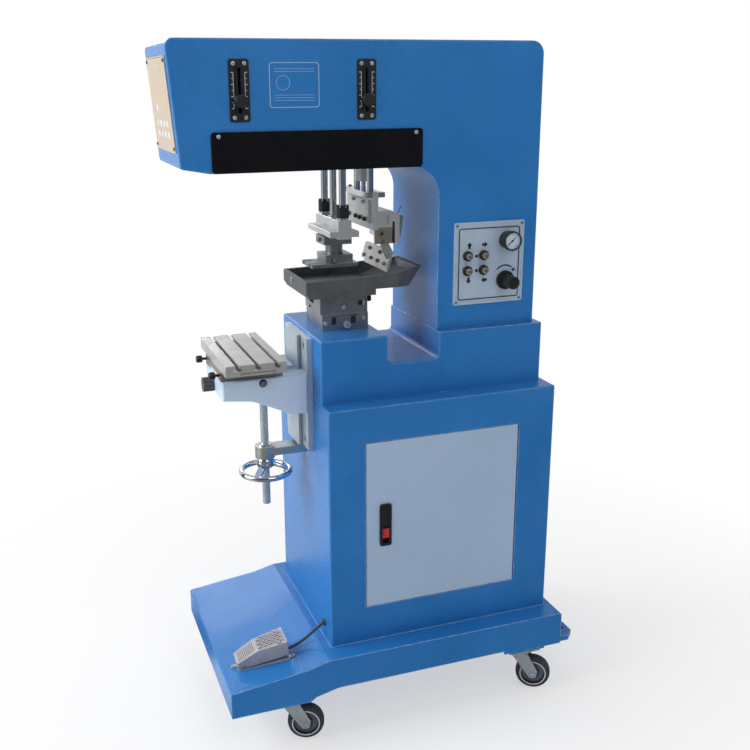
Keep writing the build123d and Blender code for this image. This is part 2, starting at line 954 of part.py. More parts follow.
# Control panel: a rimmed plate, bored for the valves, the gauge and the regulator
flow_places = [(y, z) for z in flow_z for y in flow_y]
control_inner = control_thick - control_recess
with BuildPart() as control_panel:
    panel(side(column_half), (control_front, control_rear), (control_bottom, control_top),
          control_thick, corner=control_corner)
    panel(side(column_half + control_inner), (control_front + control_rim, control_rear - control_rim),
          (control_bottom + control_rim, control_top - control_rim), overrun, mode=Mode.SUBTRACT)
    for flow_place in flow_places:
        bar(side(column_half - overrun), flow_place, flow_neck_diameter + 2 * slide_fit,
            control_thick + 2 * overrun, mode=Mode.SUBTRACT)
    bar(side(column_half - overrun), (gauge_y, gauge_z), gauge_stem + 2 * slide_fit,
        control_thick + 2 * overrun, mode=Mode.SUBTRACT)
    bar(side(column_half - overrun), (regulator_y, regulator_z), regulator_neck + 2 * slide_fit,
        control_thick + 2 * overrun, mode=Mode.SUBTRACT)
save(control_panel, "control_panel")

# Valve and regulator bodies behind the panel, their necks through it
control_face = column_half + control_inner
with BuildPart() as valve_bodies:
    for flow_place in flow_places:
        panel(side(column_half - flow_body_depth),
              (flow_place[0] - flow_body_size / 2, flow_place[0] + flow_body_size / 2),
              (flow_place[1] - flow_body_size / 2, flow_place[1] + flow_body_size / 2), flow_body_depth)
        bar(side(column_half), flow_place, flow_neck_diameter,
            control_inner + play + flow_knob_bore_depth - play)
    bar(side(column_half - regulator_body_depth), (regulator_y, regulator_z), regulator_body,
        regulator_body_depth)
    bar(side(column_half), (regulator_y, regulator_z), regulator_neck,
        control_inner + regulator_neck_depth)
    with BuildSketch(side(control_face)) as ring:
        with Locations((regulator_y, regulator_z)):
            Circle(regulator_ring / 2)
            Circle(regulator_neck / 2 - play, mode=Mode.SUBTRACT)
    extrude(ring.sketch, amount=regulator_ring_depth)
save(valve_bodies, "valve_bodies")

# Flow knobs: stepped and turned, bored to ride on the valve necks
for knob_number, flow_place in enumerate(flow_places, start=1):
    with BuildPart() as flow_knob:
        turned(place(control_face + play, *flow_place), (1, 0, 0), [
            (0, flow_knob_bore_depth),
            (flow_neck_diameter / 2 + slide_fit, flow_knob_bore_depth),
            (flow_neck_diameter / 2 + slide_fit, 0),
            (flow_knob_diameter / 2, 0),
            (flow_knob_diameter / 2, flow_knob_collar),
            (flow_knob_cap_diameter / 2, flow_knob_collar),
            (flow_knob_cap_diameter / 2, flow_knob_length - edge_round / 4),
            (flow_knob_cap_diameter / 2 - edge_round / 4, flow_knob_length),
            (0, flow_knob_length),
        ])
    save(flow_knob, f"flow_knob_{knob_number}")

# Pressure gauge: a turned case with a recessed dial and a pin for the needle
with BuildPart() as gauge_case:
    gauge_radius = gauge_diameter / 2
    dial_level = gauge_depth - gauge_recess
    turned(place(control_face, gauge_y, gauge_z), (1, 0, 0), [
        (0, 0),
        (gauge_radius - gauge_round, 0),
        (gauge_radius - gauge_round, dial_level - gauge_recess),
        (gauge_radius, dial_level - gauge_recess),
        (gauge_radius, gauge_depth - gauge_round),
        (gauge_radius - gauge_round, gauge_depth),
        (gauge_radius - gauge_rim, gauge_depth),
        (gauge_radius - gauge_rim, dial_level),
        (needle_pin / 2, dial_level),
        (needle_pin / 2, dial_level + 2 * play + needle_thick),
        (0, dial_level + 2 * play + needle_thick),
    ])
    bar(side(control_face), (gauge_y, gauge_z), gauge_stem, -gauge_stem_depth)
save(gauge_case, "gauge_case")

# Gauge needle: a tapered pointer and a short tail on a bored hub
needle_plane = Plane(
    origin=place(control_face + dial_level + play, gauge_y, gauge_z),
    x_dir=(0, cos(radians(needle_angle)), sin(radians(needle_angle))),
    z_dir=(1, 0, 0),
)
with BuildPart() as gauge_needle:
    prism(needle_plane, [
        (-needle_tail, -needle_width / 2),
        (0, -needle_width / 2),
        (needle_length, -needle_width / 8),
        (needle_length, needle_width / 8),
        (0, needle_width / 2),
        (-needle_tail, needle_width / 2),
    ], needle_thick)
    bar(needle_plane, (0, 0), needle_hub, needle_thick)
    bar(needle_plane.offset(-overrun), (0, 0), needle_pin + 2 * slide_fit, needle_thick + 2 * overrun,
        mode=Mode.SUBTRACT)
save(gauge_needle, "gauge_needle")

# Regulator knob: fluted, with a plain collar, bored to ride on the regulator's neck
with BuildPart() as regulator_knob:
    knob_plane = Plane(
        origin=place(control_face + regulator_knob_start, regulator_y, regulator_z),
        x_dir=(0, 1, 0),
        z_dir=(1, 0, 0),
    )
    fluted(knob_plane, regulator_knob_diameter, regulator_knob_end - regulator_knob_start,
           regulator_flutes, regulator_flute)
    chamfer(regulator_knob.faces().sort_by(Axis.X)[-1].edges(), play)
    bar(knob_plane.offset(-overrun), (0, 0), regulator_neck + 2 * slide_fit,
        regulator_neck_depth - regulator_knob_start + play + overrun, mode=Mode.SUBTRACT)
save(regulator_knob, "regulator_knob")

# Door: a sheet pan with folded edges, bored top and bottom for its pivots, cut out for the latch
with BuildPart() as door:
    panel(side(cabinet_half - door_edge), (door_front, door_rear), (door_bottom, door_top), door_edge)
    fillet(door.edges().filter_by(Axis.Z).group_by(Axis.X)[-1], door_round)
    panel(side(cabinet_half - door_edge - overrun), (door_front + door_skin, door_rear - door_skin),
          (door_bottom + door_skin, door_top - door_skin), door_edge - door_skin + overrun,
          mode=Mode.SUBTRACT)
    for lug_z in (door_bottom, door_top - pivot_lug):
        panel(level(lug_z), (pivot_x - pivot_lug / 2, cabinet_half - door_skin / 2),
              (pivot_y - pivot_lug / 2, door_rear - door_skin / 2), pivot_lug)
    bar(level(door_bottom - overrun), (pivot_x, pivot_y), pivot_pin + 2 * slide_fit,
        overrun + pivot_reach + play, mode=Mode.SUBTRACT)
    bar(level(door_top + overrun), (pivot_x, pivot_y), pivot_pin + 2 * slide_fit,
        -overrun - pivot_reach - play, mode=Mode.SUBTRACT)
    panel(side(cabinet_half - door_edge), (latch_front + latch_wall, latch_rear - latch_wall),
          (latch_bottom + latch_wall, latch_top - latch_wall), door_edge + overrun,
          mode=Mode.SUBTRACT)
save(door, "door")

# Door pivots: one pin at the bottom and one at the top of the frame, each with a washer head
with BuildPart() as door_hinges:
    bar(level(opening_bottom - pivot_seat), (pivot_x, pivot_y), pivot_pin,
        pivot_seat + panel_gap + pivot_reach)
    bar(level(opening_bottom - sheet), (pivot_x, pivot_y), pivot_head, -sheet / 2)
    bar(level(opening_top + pivot_seat), (pivot_x, pivot_y), pivot_pin,
        -pivot_seat - panel_gap - pivot_reach)
    bar(level(opening_top + sheet), (pivot_x, pivot_y), pivot_head, sheet / 2)
save(door_hinges, "door_hinges")

# Latch housing: a black tray let into the door, with room for the lever and the button
latch_middle = (latch_front + latch_rear) / 2
lever_pivot_z = latch_top - latch_wall - lever_drop
lever_pivot_x = cabinet_half - latch_deep + latch_floor + play + lever_thick / 2
with BuildPart() as latch_case:
    panel(side(cabinet_half), (latch_front, latch_rear), (latch_bottom, latch_top), latch_proud,
          corner=latch_corner)
    panel(side(cabinet_half - latch_deep),
          (latch_front + latch_wall + slide_fit, latch_rear - latch_wall - slide_fit),
          (latch_bottom + latch_wall + slide_fit, latch_top - latch_wall - slide_fit), latch_deep)
    panel(side(cabinet_half - latch_deep + latch_floor),
          (latch_front + 2 * latch_wall, latch_rear - 2 * latch_wall),
          (latch_bottom + 2 * latch_wall, latch_top - 2 * latch_wall), latch_deep + overrun,
          mode=Mode.SUBTRACT)
    bar(facing(latch_middle).offset(0), (lever_pivot_x, lever_pivot_z), lever_pin,
        (latch_rear - latch_front) / 2 - latch_wall)
    bar(facing(latch_middle).offset(0), (lever_pivot_x, lever_pivot_z), lever_pin,
        -(latch_rear - latch_front) / 2 + latch_wall)
    bar(side(cabinet_half - latch_deep - overrun), (latch_middle, (button_bottom + button_top) / 2),
        button_stem + 2 * slide_fit, latch_deep, mode=Mode.SUBTRACT)
save(latch_case, "latch_case")

# Latch lever: a flat handle with a rounded pivot end, which swings out from the door
lever_half = (latch_rear - latch_front) / 2 - 2 * latch_wall - play
with BuildPart() as latch_lever:
    lever_nose = lever_pivot_z + lever_thick / 2
    with BuildSketch(facing(latch_middle)) as lever_outline:
        with BuildLine():
            FilletPolyline(
                (lever_pivot_x - lever_thick / 2, lever_nose),
                (lever_pivot_x + lever_thick / 2, lever_nose),
                (lever_pivot_x + lever_thick / 2, lever_bottom),
                (lever_pivot_x - lever_thick / 2 + latch_floor / 2, lever_bottom),
                (lever_pivot_x - lever_thick / 2, lever_bottom + lever_thick),
                radius=[lever_thick / 2 - play, lever_thick / 2 - play, play, play, play],
                close=True,
            )
        make_face()
        with Locations((lever_pivot_x, lever_pivot_z)):
            Circle(lever_pin / 2 + slide_fit, mode=Mode.SUBTRACT)
    extrude(lever_outline.sketch, amount=lever_half, both=True)
save(latch_lever, "latch_lever")

# Latch button: the red push button below the lever, on a stem through the housing's floor
with BuildPart() as latch_button:
    button_back = cabinet_half + latch_proud - button_thick
    panel(side(button_back), (latch_middle - lever_half, latch_middle + lever_half),
          (button_bottom, button_top), button_thick, corner=play)
    bar(side(button_back), (latch_middle, (button_bottom + button_top) / 2), button_stem,
        cabinet_half - latch_deep - button_back)
save(latch_button, "latch_button")

# Vertical guide of the table: a plate with a dovetail rail, bored for four cap screws
with BuildPart() as guide_plate:
    prism(
        level(guide_bottom),
        [
            (-guide_half, 0),
            (guide_half, 0),
            (guide_half, -guide_thick),
            (rail_half_root, -guide_thick),
            (rail_half_front, -rail_front),
            (-rail_half_front, -rail_front),
            (-rail_half_root, -guide_thick),
            (-guide_half, -guide_thick),
        ],
        guide_top - guide_bottom,
    )
    for hole_z in (guide_bottom + guide_hole_inset, guide_top - guide_hole_inset):
        for turn in (-1, 1):
            bar(facing(-guide_thick - overrun), (turn * guide_hole_x, hole_z), guide_hole,
                -guide_thick - 2 * overrun, mode=Mode.SUBTRACT)
            bar(facing(-guide_thick - overrun), (turn * guide_hole_x, hole_z), guide_head,
                -guide_head_depth - overrun, mode=Mode.SUBTRACT)
save(guide_plate, "guide_plate")

# Lift lug below the guide: an arm and a boss, with a flanged brass bush pressed in
with BuildPart() as lift_lug:
    panel(level(lug_bottom), (-lug_half, lug_half), (screw_y, 0), lug_top - lug_bottom)
    bar(level(boss_bottom), (0, screw_y), boss_diameter, boss_top - boss_bottom)
    bar(level(boss_bottom - overrun), (0, screw_y), bush_diameter, boss_top - boss_bottom + 2 * overrun,
        mode=Mode.SUBTRACT)
    with BuildSketch(level(boss_bottom)) as bush:
        with Locations((0, screw_y)):
            Circle(bush_diameter / 2 - slide_fit)
            Circle(bush_bore / 2, mode=Mode.SUBTRACT)
    extrude(bush.sketch, amount=boss_top + bush_flange - boss_bottom)
save(lift_lug, "lift_lug")

# Handwheel: round rim, three spokes rising to a hub whose neck runs in the bush
ring_level = boss_top + bush_flange + play
with BuildPart() as handwheel:
    neck = bush_bore / 2 - slide_fit
    nut_bore = screw_diameter / 2 + slide_fit
    turned(place(0, screw_y, 0), (0, 0, 1), [
        (nut_bore, handwheel_hub_bottom),
        (handwheel_hub / 2 - spoke_thick / 2, handwheel_hub_bottom),
        (handwheel_hub / 2, handwheel_hub_bottom + spoke_thick / 2),
        (handwheel_hub / 2, boss_bottom - spoke_thick),
        (bush_bore / 2 + spoke_thick / 2, boss_bottom - play),
        (neck, boss_bottom - play),
        (neck, ring_level),
        (handwheel_ring / 2, ring_level),
        (handwheel_ring / 2, ring_level + handwheel_ring_depth),
        (nut_bore, ring_level + handwheel_ring_depth),
    ])
    rim_radius = (handwheel_diameter - handwheel_rim) / 2
    spoke_root = handwheel_hub / 2 - spoke_thick / 2
    for spoke in range(handwheel_spokes):
        turn = radians(360 * spoke / handwheel_spokes + handwheel_start_turn)
        spoke_plane = Plane(
            origin=place(0, screw_y, 0),
            x_dir=(cos(turn), sin(turn), 0),
            z_dir=(sin(turn), -cos(turn), 0),
        )
        prism(
            spoke_plane,
            [
                (spoke_root, handwheel_hub_bottom + spoke_thick / 2),
                (spoke_root, handwheel_hub_bottom + 2 * spoke_thick),
                (rim_radius, handwheel_level + spoke_thick / 2),
                (rim_radius, handwheel_level - spoke_thick / 2),
            ],
            spoke_width / 2,
            both=True,
        )
    with BuildSketch(Plane(origin=place(0, screw_y, 0), x_dir=(1, 0, 0), z_dir=(0, -1, 0))) as rim:
        with Locations((rim_radius, handwheel_level)):
            Circle(handwheel_rim / 2)
    revolve(rim.sketch, axis=Axis(place(0, screw_y, 0), (0, 0, 1)))
save(handwheel, "handwheel")

# Lift screw: passes through the handwheel's nut and is fixed in the bracket
with BuildPart() as lift_screw:
    bar(level(screw_bottom), (0, screw_y), screw_diameter,
        bracket_bottom_at_screw + screw_seat - screw_bottom)
    chamfer(lift_screw.edges().group_by(Axis.Z)[0], screw_chamfer)
save(lift_screw, "lift_screw")

# Table bracket: a deep cast arm that clasps the dovetail rail, with a way for the cross slide on top
with BuildPart() as table_bracket:
    prism(
        side(),
        [
            (-bracket_reach, bracket_nose),
            (-bracket_reach, bracket_top),
            (-guide_thick - slide_fit, bracket_top),
            (-guide_thick - slide_fit, bracket_foot),
            (-bracket_foot_reach, bracket_foot),
            (-bracket_knee_reach, bracket_knee),
            (-bracket_belly_reach, bracket_belly),
        ],
        bracket_half,
        radii=[play, play, play, play, bracket_round / 2, bracket_round / 2, bracket_round],
        both=True,
    )
    fillet(table_bracket.edges().filter_by(Axis.Z).group_by(Axis.Y)[0], edge_round)
    prism(
        level(bracket_foot - overrun),
        [
            (rail_half_root + slide_fit, -guide_thick + overrun),
            (rail_half_root + slide_fit, -guide_thick),
            (rail_half_front + slide_fit, -rail_front - slide_fit),
            (-rail_half_front - slide_fit, -rail_front - slide_fit),
            (-rail_half_root - slide_fit, -guide_thick),
            (-rail_half_root - slide_fit, -guide_thick + overrun),
        ],
        bracket_top - bracket_foot + 2 * overrun,
        mode=Mode.SUBTRACT,
    )
    prism(
        facing(-bracket_reach),
        [
            (way_half_root, bracket_top - play),
            (way_half, bracket_top + way_height),
            (-way_half, bracket_top + way_height),
            (-way_half_root, bracket_top - play),
        ],
        rail_front + overrun - bracket_reach,
    )
    bar(level(bracket_bottom_at_screw - overrun), (0, screw_y), screw_diameter + 2 * slide_fit,
        screw_seat + overrun, mode=Mode.SUBTRACT)
    bar(facing(-bracket_reach - overrun), (feed_knob_x, feed_knob_z), feed_shaft + 2 * slide_fit,
        -feed_shaft_reach - overrun - play, mode=Mode.SUBTRACT)
save(table_bracket, "table_bracket")

# Cross slide: a saddle that rides on the bracket's way
with BuildPart() as cross_slide:
    panel(level(bracket_top + slide_fit), (-cross_half, cross_half), (-table_reach, -cross_rear),
          cross_top - bracket_top - slide_fit)
    prism(
        facing(-table_reach - overrun),
        [
            (way_half_root + slide_fit, bracket_top - overrun),
            (way_half_root + slide_fit, bracket_top - play),
            (way_half + slide_fit, bracket_top + way_height + slide_fit),
            (-way_half - slide_fit, bracket_top + way_height + slide_fit),
            (-way_half_root - slide_fit, bracket_top - play),
            (-way_half_root - slide_fit, bracket_top - overrun),
        ],
        cross_rear - table_reach - 2 * overrun,
        mode=Mode.SUBTRACT,
    )
    for turn in (-1, 1):
        bar(facing(-table_reach - overrun), (turn * clamp_x, clamp_z), clamp_stem + 2 * slide_fit,
            -clamp_stem_start - overrun - play, mode=Mode.SUBTRACT)
save(cross_slide, "cross_slide")

# T-slot table: a ground plate with three T-slots along X
with BuildPart() as t_slot_table:
    panel(level(cross_top), (-table_half, table_half), (-table_reach, -table_rear), table_top - cross_top)
    chamfer(t_slot_table.edges().filter_by(Axis.X).group_by(Axis.Z)[-1], table_round)
    for tee_y in tee_places:
        prism(
            side(),
            [
                (tee_y - tee_neck / 2, table_top + overrun),
                (tee_y - tee_neck / 2, tee_top),
                (tee_y - tee_width / 2, tee_top),
                (tee_y - tee_width / 2, tee_bottom),
                (tee_y + tee_width / 2, tee_bottom),
                (tee_y + tee_width / 2, tee_top),
                (tee_y + tee_neck / 2, tee_top),
                (tee_y + tee_neck / 2, table_top + overrun),
            ],
            table_half + overrun,
            both=True,
            mode=Mode.SUBTRACT,
        )
save(t_slot_table, "t_slot_table")

# Cross feed knob: fluted grey grip on a shaft in the bracket
with BuildPart() as cross_feed_knob:
    feed_plane = Plane(
        origin=place(feed_knob_x, -bracket_reach - play, feed_knob_z),
        x_dir=(1, 0, 0),
        z_dir=(0, -1, 0),
    )
    fluted(feed_plane, feed_knob_diameter, feed_knob_depth, feed_knob_flutes, feed_flute)
    bar(feed_plane, (0, 0), feed_shaft, -feed_shaft_reach - play)
save(cross_feed_knob, "cross_feed_knob")

# Clamp knobs of the cross slide
for knob_name, turn in (("clamp_knob_left", -1), ("clamp_knob_right", 1)):
    with BuildPart() as clamp_knob_part:
        clamp_tip = table_reach + clamp_stem_free + clamp_knob_depth
        turned(place(turn * clamp_x, 0, clamp_z), (0, -1, 0), [
            (0, table_reach - clamp_stem_start),
            (clamp_stem / 2, table_reach - clamp_stem_start),
            (clamp_stem / 2, table_reach + clamp_stem_free),
            (clamp_knob / 2 - play, table_reach + clamp_stem_free),
            (clamp_knob / 2, table_reach + clamp_stem_free + clamp_knob_depth / 3),
            (clamp_knob / 2, clamp_tip - clamp_knob_depth / 6),
            (clamp_knob / 2 - clamp_knob_depth / 6, clamp_tip),
            (0, clamp_tip),
        ])
    save(clamp_knob_part, knob_name)

# Stage base: a block on the deck with a dovetail rail and two long side grooves
with BuildPart() as stage_base:
    panel(level(deck_height), (-stage_half, stage_half), (stage_front, stage_rear),
          stage_split - deck_height)
    prism(
        facing(stage_front),
        [
            (stage_rail_root, stage_split - play),
            (stage_rail_half, stage_split + stage_rail_height),
            (-stage_rail_half, stage_split + stage_rail_height),
            (-stage_rail_root, stage_split - play),
        ],
        stage_front - stage_rear,
    )
    for turn in (-1, 1):
        panel(side(turn * stage_half), (stage_groove_front, stage_groove_rear),
              (stage_groove_z - stage_groove_height / 2, stage_groove_z + stage_groove_height / 2),
              -turn * stage_groove_depth, mode=Mode.SUBTRACT)
save(stage_base, "stage_base")

# Stage slide: carries the ink tray on the stage's rail
slide_front = stage_front - stage_slide_inset
with BuildPart() as stage_slide:
    panel(level(stage_split + slide_fit), (-stage_slide_half, stage_slide_half),
          (slide_front, stage_rear), tray_foot_level - stage_split - slide_fit)
    prism(
        facing(slide_front - overrun),
        [
            (stage_rail_root + slide_fit, stage_split - overrun),
            (stage_rail_root + slide_fit, stage_split - play),
            (stage_rail_half + slide_fit, stage_split + stage_rail_height + slide_fit),
            (-stage_rail_half - slide_fit, stage_split + stage_rail_height + slide_fit),
            (-stage_rail_root - slide_fit, stage_split - play),
            (-stage_rail_root - slide_fit, stage_split - overrun),
        ],
        slide_front - stage_rear - 2 * overrun,
        mode=Mode.SUBTRACT,
    )
    window_middle = -stage_rail_root / 3
    panel(facing(slide_front), (window_middle - stage_window_half, window_middle + stage_window_half),
          (stage_window_z, stage_window_z + stage_window_height), -stage_window_depth,
          mode=Mode.SUBTRACT)
    for turn in (-1, 1):
        bar(side(turn * stage_slide_half), (stage_bolt_y, stage_bolt_z), stage_bolt_hole,
            -turn * stage_bolt_depth, mode=Mode.SUBTRACT)
    bar(facing(stage_rear + overrun), (stage_knob_x, stage_knob_z),
        stage_knob_shaft + 2 * slide_fit, stage_knob_seat + overrun + play, mode=Mode.SUBTRACT)
save(stage_slide, "stage_slide")

# Stage knob: turned grip at the back of the stage slide
with BuildPart() as stage_knob:
    turned(place(stage_knob_x, stage_rear, stage_knob_z), (0, 1, 0), [
        (0, -stage_knob_seat),
        (stage_knob_shaft / 2, -stage_knob_seat),
        (stage_knob_shaft / 2, play),
        (stage_knob_diameter / 2, play),
        (stage_knob_diameter / 2, stage_knob_length - edge_round / 4),
        (stage_knob_diameter / 2 - edge_round / 4, stage_knob_length),
        (0, stage_knob_length),
    ])
save(stage_knob, "stage_knob")

# Ink tray: a cast trough with drafted walls, a rising back and tapered rear corners
tray_outline = [
    (tray_front, tray_rim_front),
    (tray_rim_mid_rear, tray_rim_mid),
    (tray_rear, tray_rim_rear),
    (tray_rear_bottom_end, tray_rear_bottom),
    (tray_foot_rear, tray_rear_bottom),
    (tray_foot_rear, tray_foot_level),
    (tray_foot_front, tray_foot_level),
    (tray_front, tray_front_bottom),
]
tray_rear_lean = (tray_rear - tray_rear_bottom_end) / (tray_rim_rear - tray_rear_bottom)
tray_hollow = [
    (tray_front + tray_wall, tray_rim_rear + overrun),
    (tray_front + tray_wall + tray_wall / 2, tray_floor),
    (tray_floor_rear, tray_floor),
    (tray_rear - tray_rear_wall - (tray_rim_rear - tray_sump_rise) * tray_rear_lean, tray_sump_rise),
    (tray_rear - tray_rear_wall + overrun * tray_rear_lean, tray_rim_rear + overrun),
]
tray_plan = [
    (-tray_half, tray_front),
    (tray_half, tray_front),
    (tray_half, tray_taper_start),
    (tray_rear_half, tray_rear + overrun),
    (-tray_rear_half, tray_rear + overrun),
    (-tray_half, tray_taper_start),
]
tray_inner_plan = [
    (-tray_half + tray_wall, tray_front),
    (tray_half - tray_wall, tray_front),
    (tray_half - tray_wall, tray_taper_start - tray_wall),
    (tray_rear_half - tray_wall, tray_rear),
    (-tray_rear_half + tray_wall, tray_rear),
    (-tray_half + tray_wall, tray_taper_start - tray_wall),
]
with BuildPart() as ink_tray:
    prism(side(), tray_outline, tray_half, both=True)
    with BuildSketch(level(tray_foot_level - overrun)) as plan:
        with BuildLine():
            Polyline(*tray_plan, close=True)
        make_face()
    extrude(plan.sketch, amount=tray_rim_rear - tray_foot_level + 2 * overrun, mode=Mode.INTERSECT)
    with BuildPart(mode=Mode.PRIVATE) as tray_core:
        prism(side(), tray_hollow, tray_half, both=True)
        with BuildSketch(level(tray_rim_rear + overrun)) as inner_plan:
            with BuildLine():
                Polyline(*tray_inner_plan, close=True)
            make_face()
        extrude(inner_plan.sketch, amount=tray_foot_level - tray_rim_rear - 2 * overrun,
                taper=tray_draft, mode=Mode.INTERSECT)
    add(tray_core.part, mode=Mode.SUBTRACT)
save(ink_tray, "ink_tray")

# Cliche: the flat steel printing plate in the tray
with BuildPart() as cliche_plate:
    panel(level(tray_floor), (-plate_half, plate_half), (plate_front, plate_rear), plate_thick,
          corner=plate_corner)
save(cliche_plate, "cliche_plate")

# Rails inside the head: two ground shafts in cross blocks, and the drive cylinder behind
block_half = column_half - sheet
with BuildPart() as carriage_rails:
    for block_front in (shaft_front, shaft_rear - rail_block_depth):
        panel(facing(block_front), (-block_half, block_half),
              (rail_z - rail_block_half_height, rail_z + rail_block_half_height), -rail_block_depth)
    with BuildSketch(facing(barrel_front + rail_block_depth)) as barrel:
        with Locations((0, rail_z)):
            Circle(barrel_diameter / 2)
    extrude(barrel.sketch, amount=barrel_front + rail_block_depth - barrel_rear)
    bar(facing(barrel_rear - barrel_cap), (0, rail_z), barrel_bore,
        barrel_rear - barrel_cap - barrel_front - barrel_cap, mode=Mode.SUBTRACT)
    bar(facing(barrel_rear - barrel_cap), (0, rail_z), drive_rod + 2 * slide_fit,
        barrel_rear - barrel_cap - barrel_front + overrun, mode=Mode.SUBTRACT)
    for turn in (-1, 1):
        bar(facing(shaft_front), (turn * rail_x, rail_z), shaft_diameter, shaft_front - shaft_rear)
save(carriage_rails, "carriage_rails")

# Carriage: plate and bearing blocks on the rails, with both lift cylinders and their guide bushes
plate_top = carriage_plate_bottom + carriage_plate_thick
with BuildPart() as carriage:
    panel(level(carriage_plate_bottom), (-carriage_half, carriage_half), (carriage_front, carriage_rear),
          carriage_plate_thick, corner=edge_round)
    for turn in (-1, 1):
        panel(facing(carriage_front), (turn * rail_x - bearing_half, turn * rail_x + bearing_half),
              (plate_top - play, rail_z + bearing_height / 2), carriage_front - carriage_rear)
        bar(level(pad_bush_bottom), (turn * pad_rod_x, pad_y), pad_bush, pad_bush_top - pad_bush_bottom)
        bar(level(squeegee_bush_bottom), (turn * squeegee_guide_x, squeegee_y), squeegee_bush,
            squeegee_bush_top - squeegee_bush_bottom)
    bar(level(plate_top - play), (0, pad_y), pad_cylinder, pad_cylinder_top - plate_top + play)
    bar(level(squeegee_cylinder_bottom), (0, squeegee_y), squeegee_cylinder,
        squeegee_cylinder_top - squeegee_cylinder_bottom)
    # Drive plate at the back, where the rod of the drive cylinder is screwed in
    panel(facing(carriage_rear), (-carriage_window_half, carriage_window_half),
          (plate_top - play, rail_z + bearing_height / 2), carriage_plate_thick)
    bar(facing(carriage_rear - play), (0, rail_z), drive_rod, carriage_rear - play - drive_rod_end)
    # Bores
    for turn in (-1, 1):
        bar(facing(carriage_front - overrun), (turn * rail_x, rail_z), shaft_diameter + 2 * slide_fit,
            carriage_front - carriage_rear - 2 * overrun, mode=Mode.SUBTRACT)
        bar(level(pad_bush_bottom - overrun), (turn * pad_rod_x, pad_y),
            pad_rod_diameter + 2 * slide_fit, pad_bush_top - pad_bush_bottom + 2 * overrun,
            mode=Mode.SUBTRACT)
        bar(level(squeegee_bush_bottom - overrun), (turn * squeegee_guide_x, squeegee_y),
            squeegee_guide + 2 * slide_fit, squeegee_bush_top - squeegee_bush_bottom + 2 * overrun,
            mode=Mode.SUBTRACT)
    bar(level(carriage_plate_bottom - overrun), (0, pad_y), pad_centre_rod + 2 * slide_fit,
        pad_rod_top - carriage_plate_bottom + overrun + play, mode=Mode.SUBTRACT)
    bar(level(squeegee_cylinder_bottom - overrun), (0, squeegee_y), squeegee_rod + 2 * slide_fit,
        squeegee_rod_top - squeegee_cylinder_bottom + overrun + play, mode=Mode.SUBTRACT)
save(carriage, "carriage")

# Pad rods: two guide rods and the piston rod, with washers and castellated collars above the beam
with BuildPart() as pad_rods:
    for turn in (-1, 1):
        bar(level(beam_top), (turn * pad_rod_x, pad_y), pad_rod_diameter, pad_rod_top - beam_top)
        bar(level(beam_top), (turn * pad_rod_x, pad_y), washer_diameter, washer_thick)
        with BuildSketch(level(beam_top + washer_thick)) as collar:
            with Locations((turn * pad_rod_x, pad_y)):
                Circle(collar_diameter / 2)
        extrude(collar.sketch, amount=collar_height)
        with BuildSketch(level(beam_top + washer_thick + collar_height)) as notches:
            with Locations((turn * pad_rod_x, pad_y)):
                with PolarLocations(collar_diameter / 2, collar_notches):
                    Rectangle(collar_diameter / 2, collar_notch)
        extrude(notches.sketch, amount=-collar_notch_depth, mode=Mode.SUBTRACT)
        bar(level(beam_top), (turn * pad_rod_x, pad_y), pad_rod_diameter, pad_rod_top - beam_top)
    bar(level(beam_top), (0, pad_y), pad_centre_rod, pad_rod_top - beam_top)
    bar(level(beam_top), (0, pad_y), washer_diameter, washer_thick)
save(pad_rods, "pad_rods")

# Pad beam: an extruded cross bar with a flange on each side
with BuildPart() as pad_beam:
    prism(
        side(),
        [
            (beam_front, beam_top),
            (beam_rear, beam_top),
            (beam_rear, flange_top),
            (flange_rear, flange_top),
            (flange_rear, flange_bottom),
            (beam_rear, flange_bottom),
            (beam_rear, beam_bottom),
            (beam_front, beam_bottom),
            (beam_front, flange_bottom),
            (flange_front, flange_bottom),
            (flange_front, flange_top),
            (beam_front, flange_top),
        ],
        beam_half,
        both=True,
    )
    flange_edges = pad_beam.edges().filter_by(Axis.X).group_by(Axis.Y)
    fillet(flange_edges[0] + flange_edges[-1], beam_round)
    chamfer(pad_beam.edges().filter_by(Axis.X).group_by(Axis.Z)[-1], beam_round / 2)
save(pad_beam, "pad_beam")

# Pad mount: clamp block, neck, holder and slotted plate under the beam
with BuildPart() as pad_mount:
    panel(level(clamp_bottom), (-clamp_half, clamp_half), (clamp_front, clamp_rear),
          beam_bottom - clamp_bottom)
    bar(level(neck_bottom), (0, pad_y), neck_diameter, clamp_bottom - neck_bottom)
    panel(level(holder_bottom), (-holder_half, holder_half), (holder_front, holder_rear),
          neck_bottom - holder_bottom)
    panel(level(pad_plate_bottom), (-pad_plate_half, pad_plate_half), (pad_plate_front, pad_plate_rear),
          holder_bottom - pad_plate_bottom, corner=edge_round)
    with BuildSketch(level(pad_plate_bottom - overrun)) as pad_slots:
        for turn in (-1, 1):
            with Locations((turn * pad_slot_x, pad_plate_front + pad_slot_length / 2 - edge_round)):
                SlotOverall(pad_slot_length, pad_slot_width, rotation=90)
    extrude(pad_slots.sketch, amount=holder_bottom - pad_plate_bottom + 2 * overrun, mode=Mode.SUBTRACT)
    fillet(pad_mount.edges().filter_by(Axis.Z).filter_by_position(
        Axis.Z, base_top + clamp_bottom, base_top + beam_bottom), beam_round)
save(pad_mount, "pad_mount")

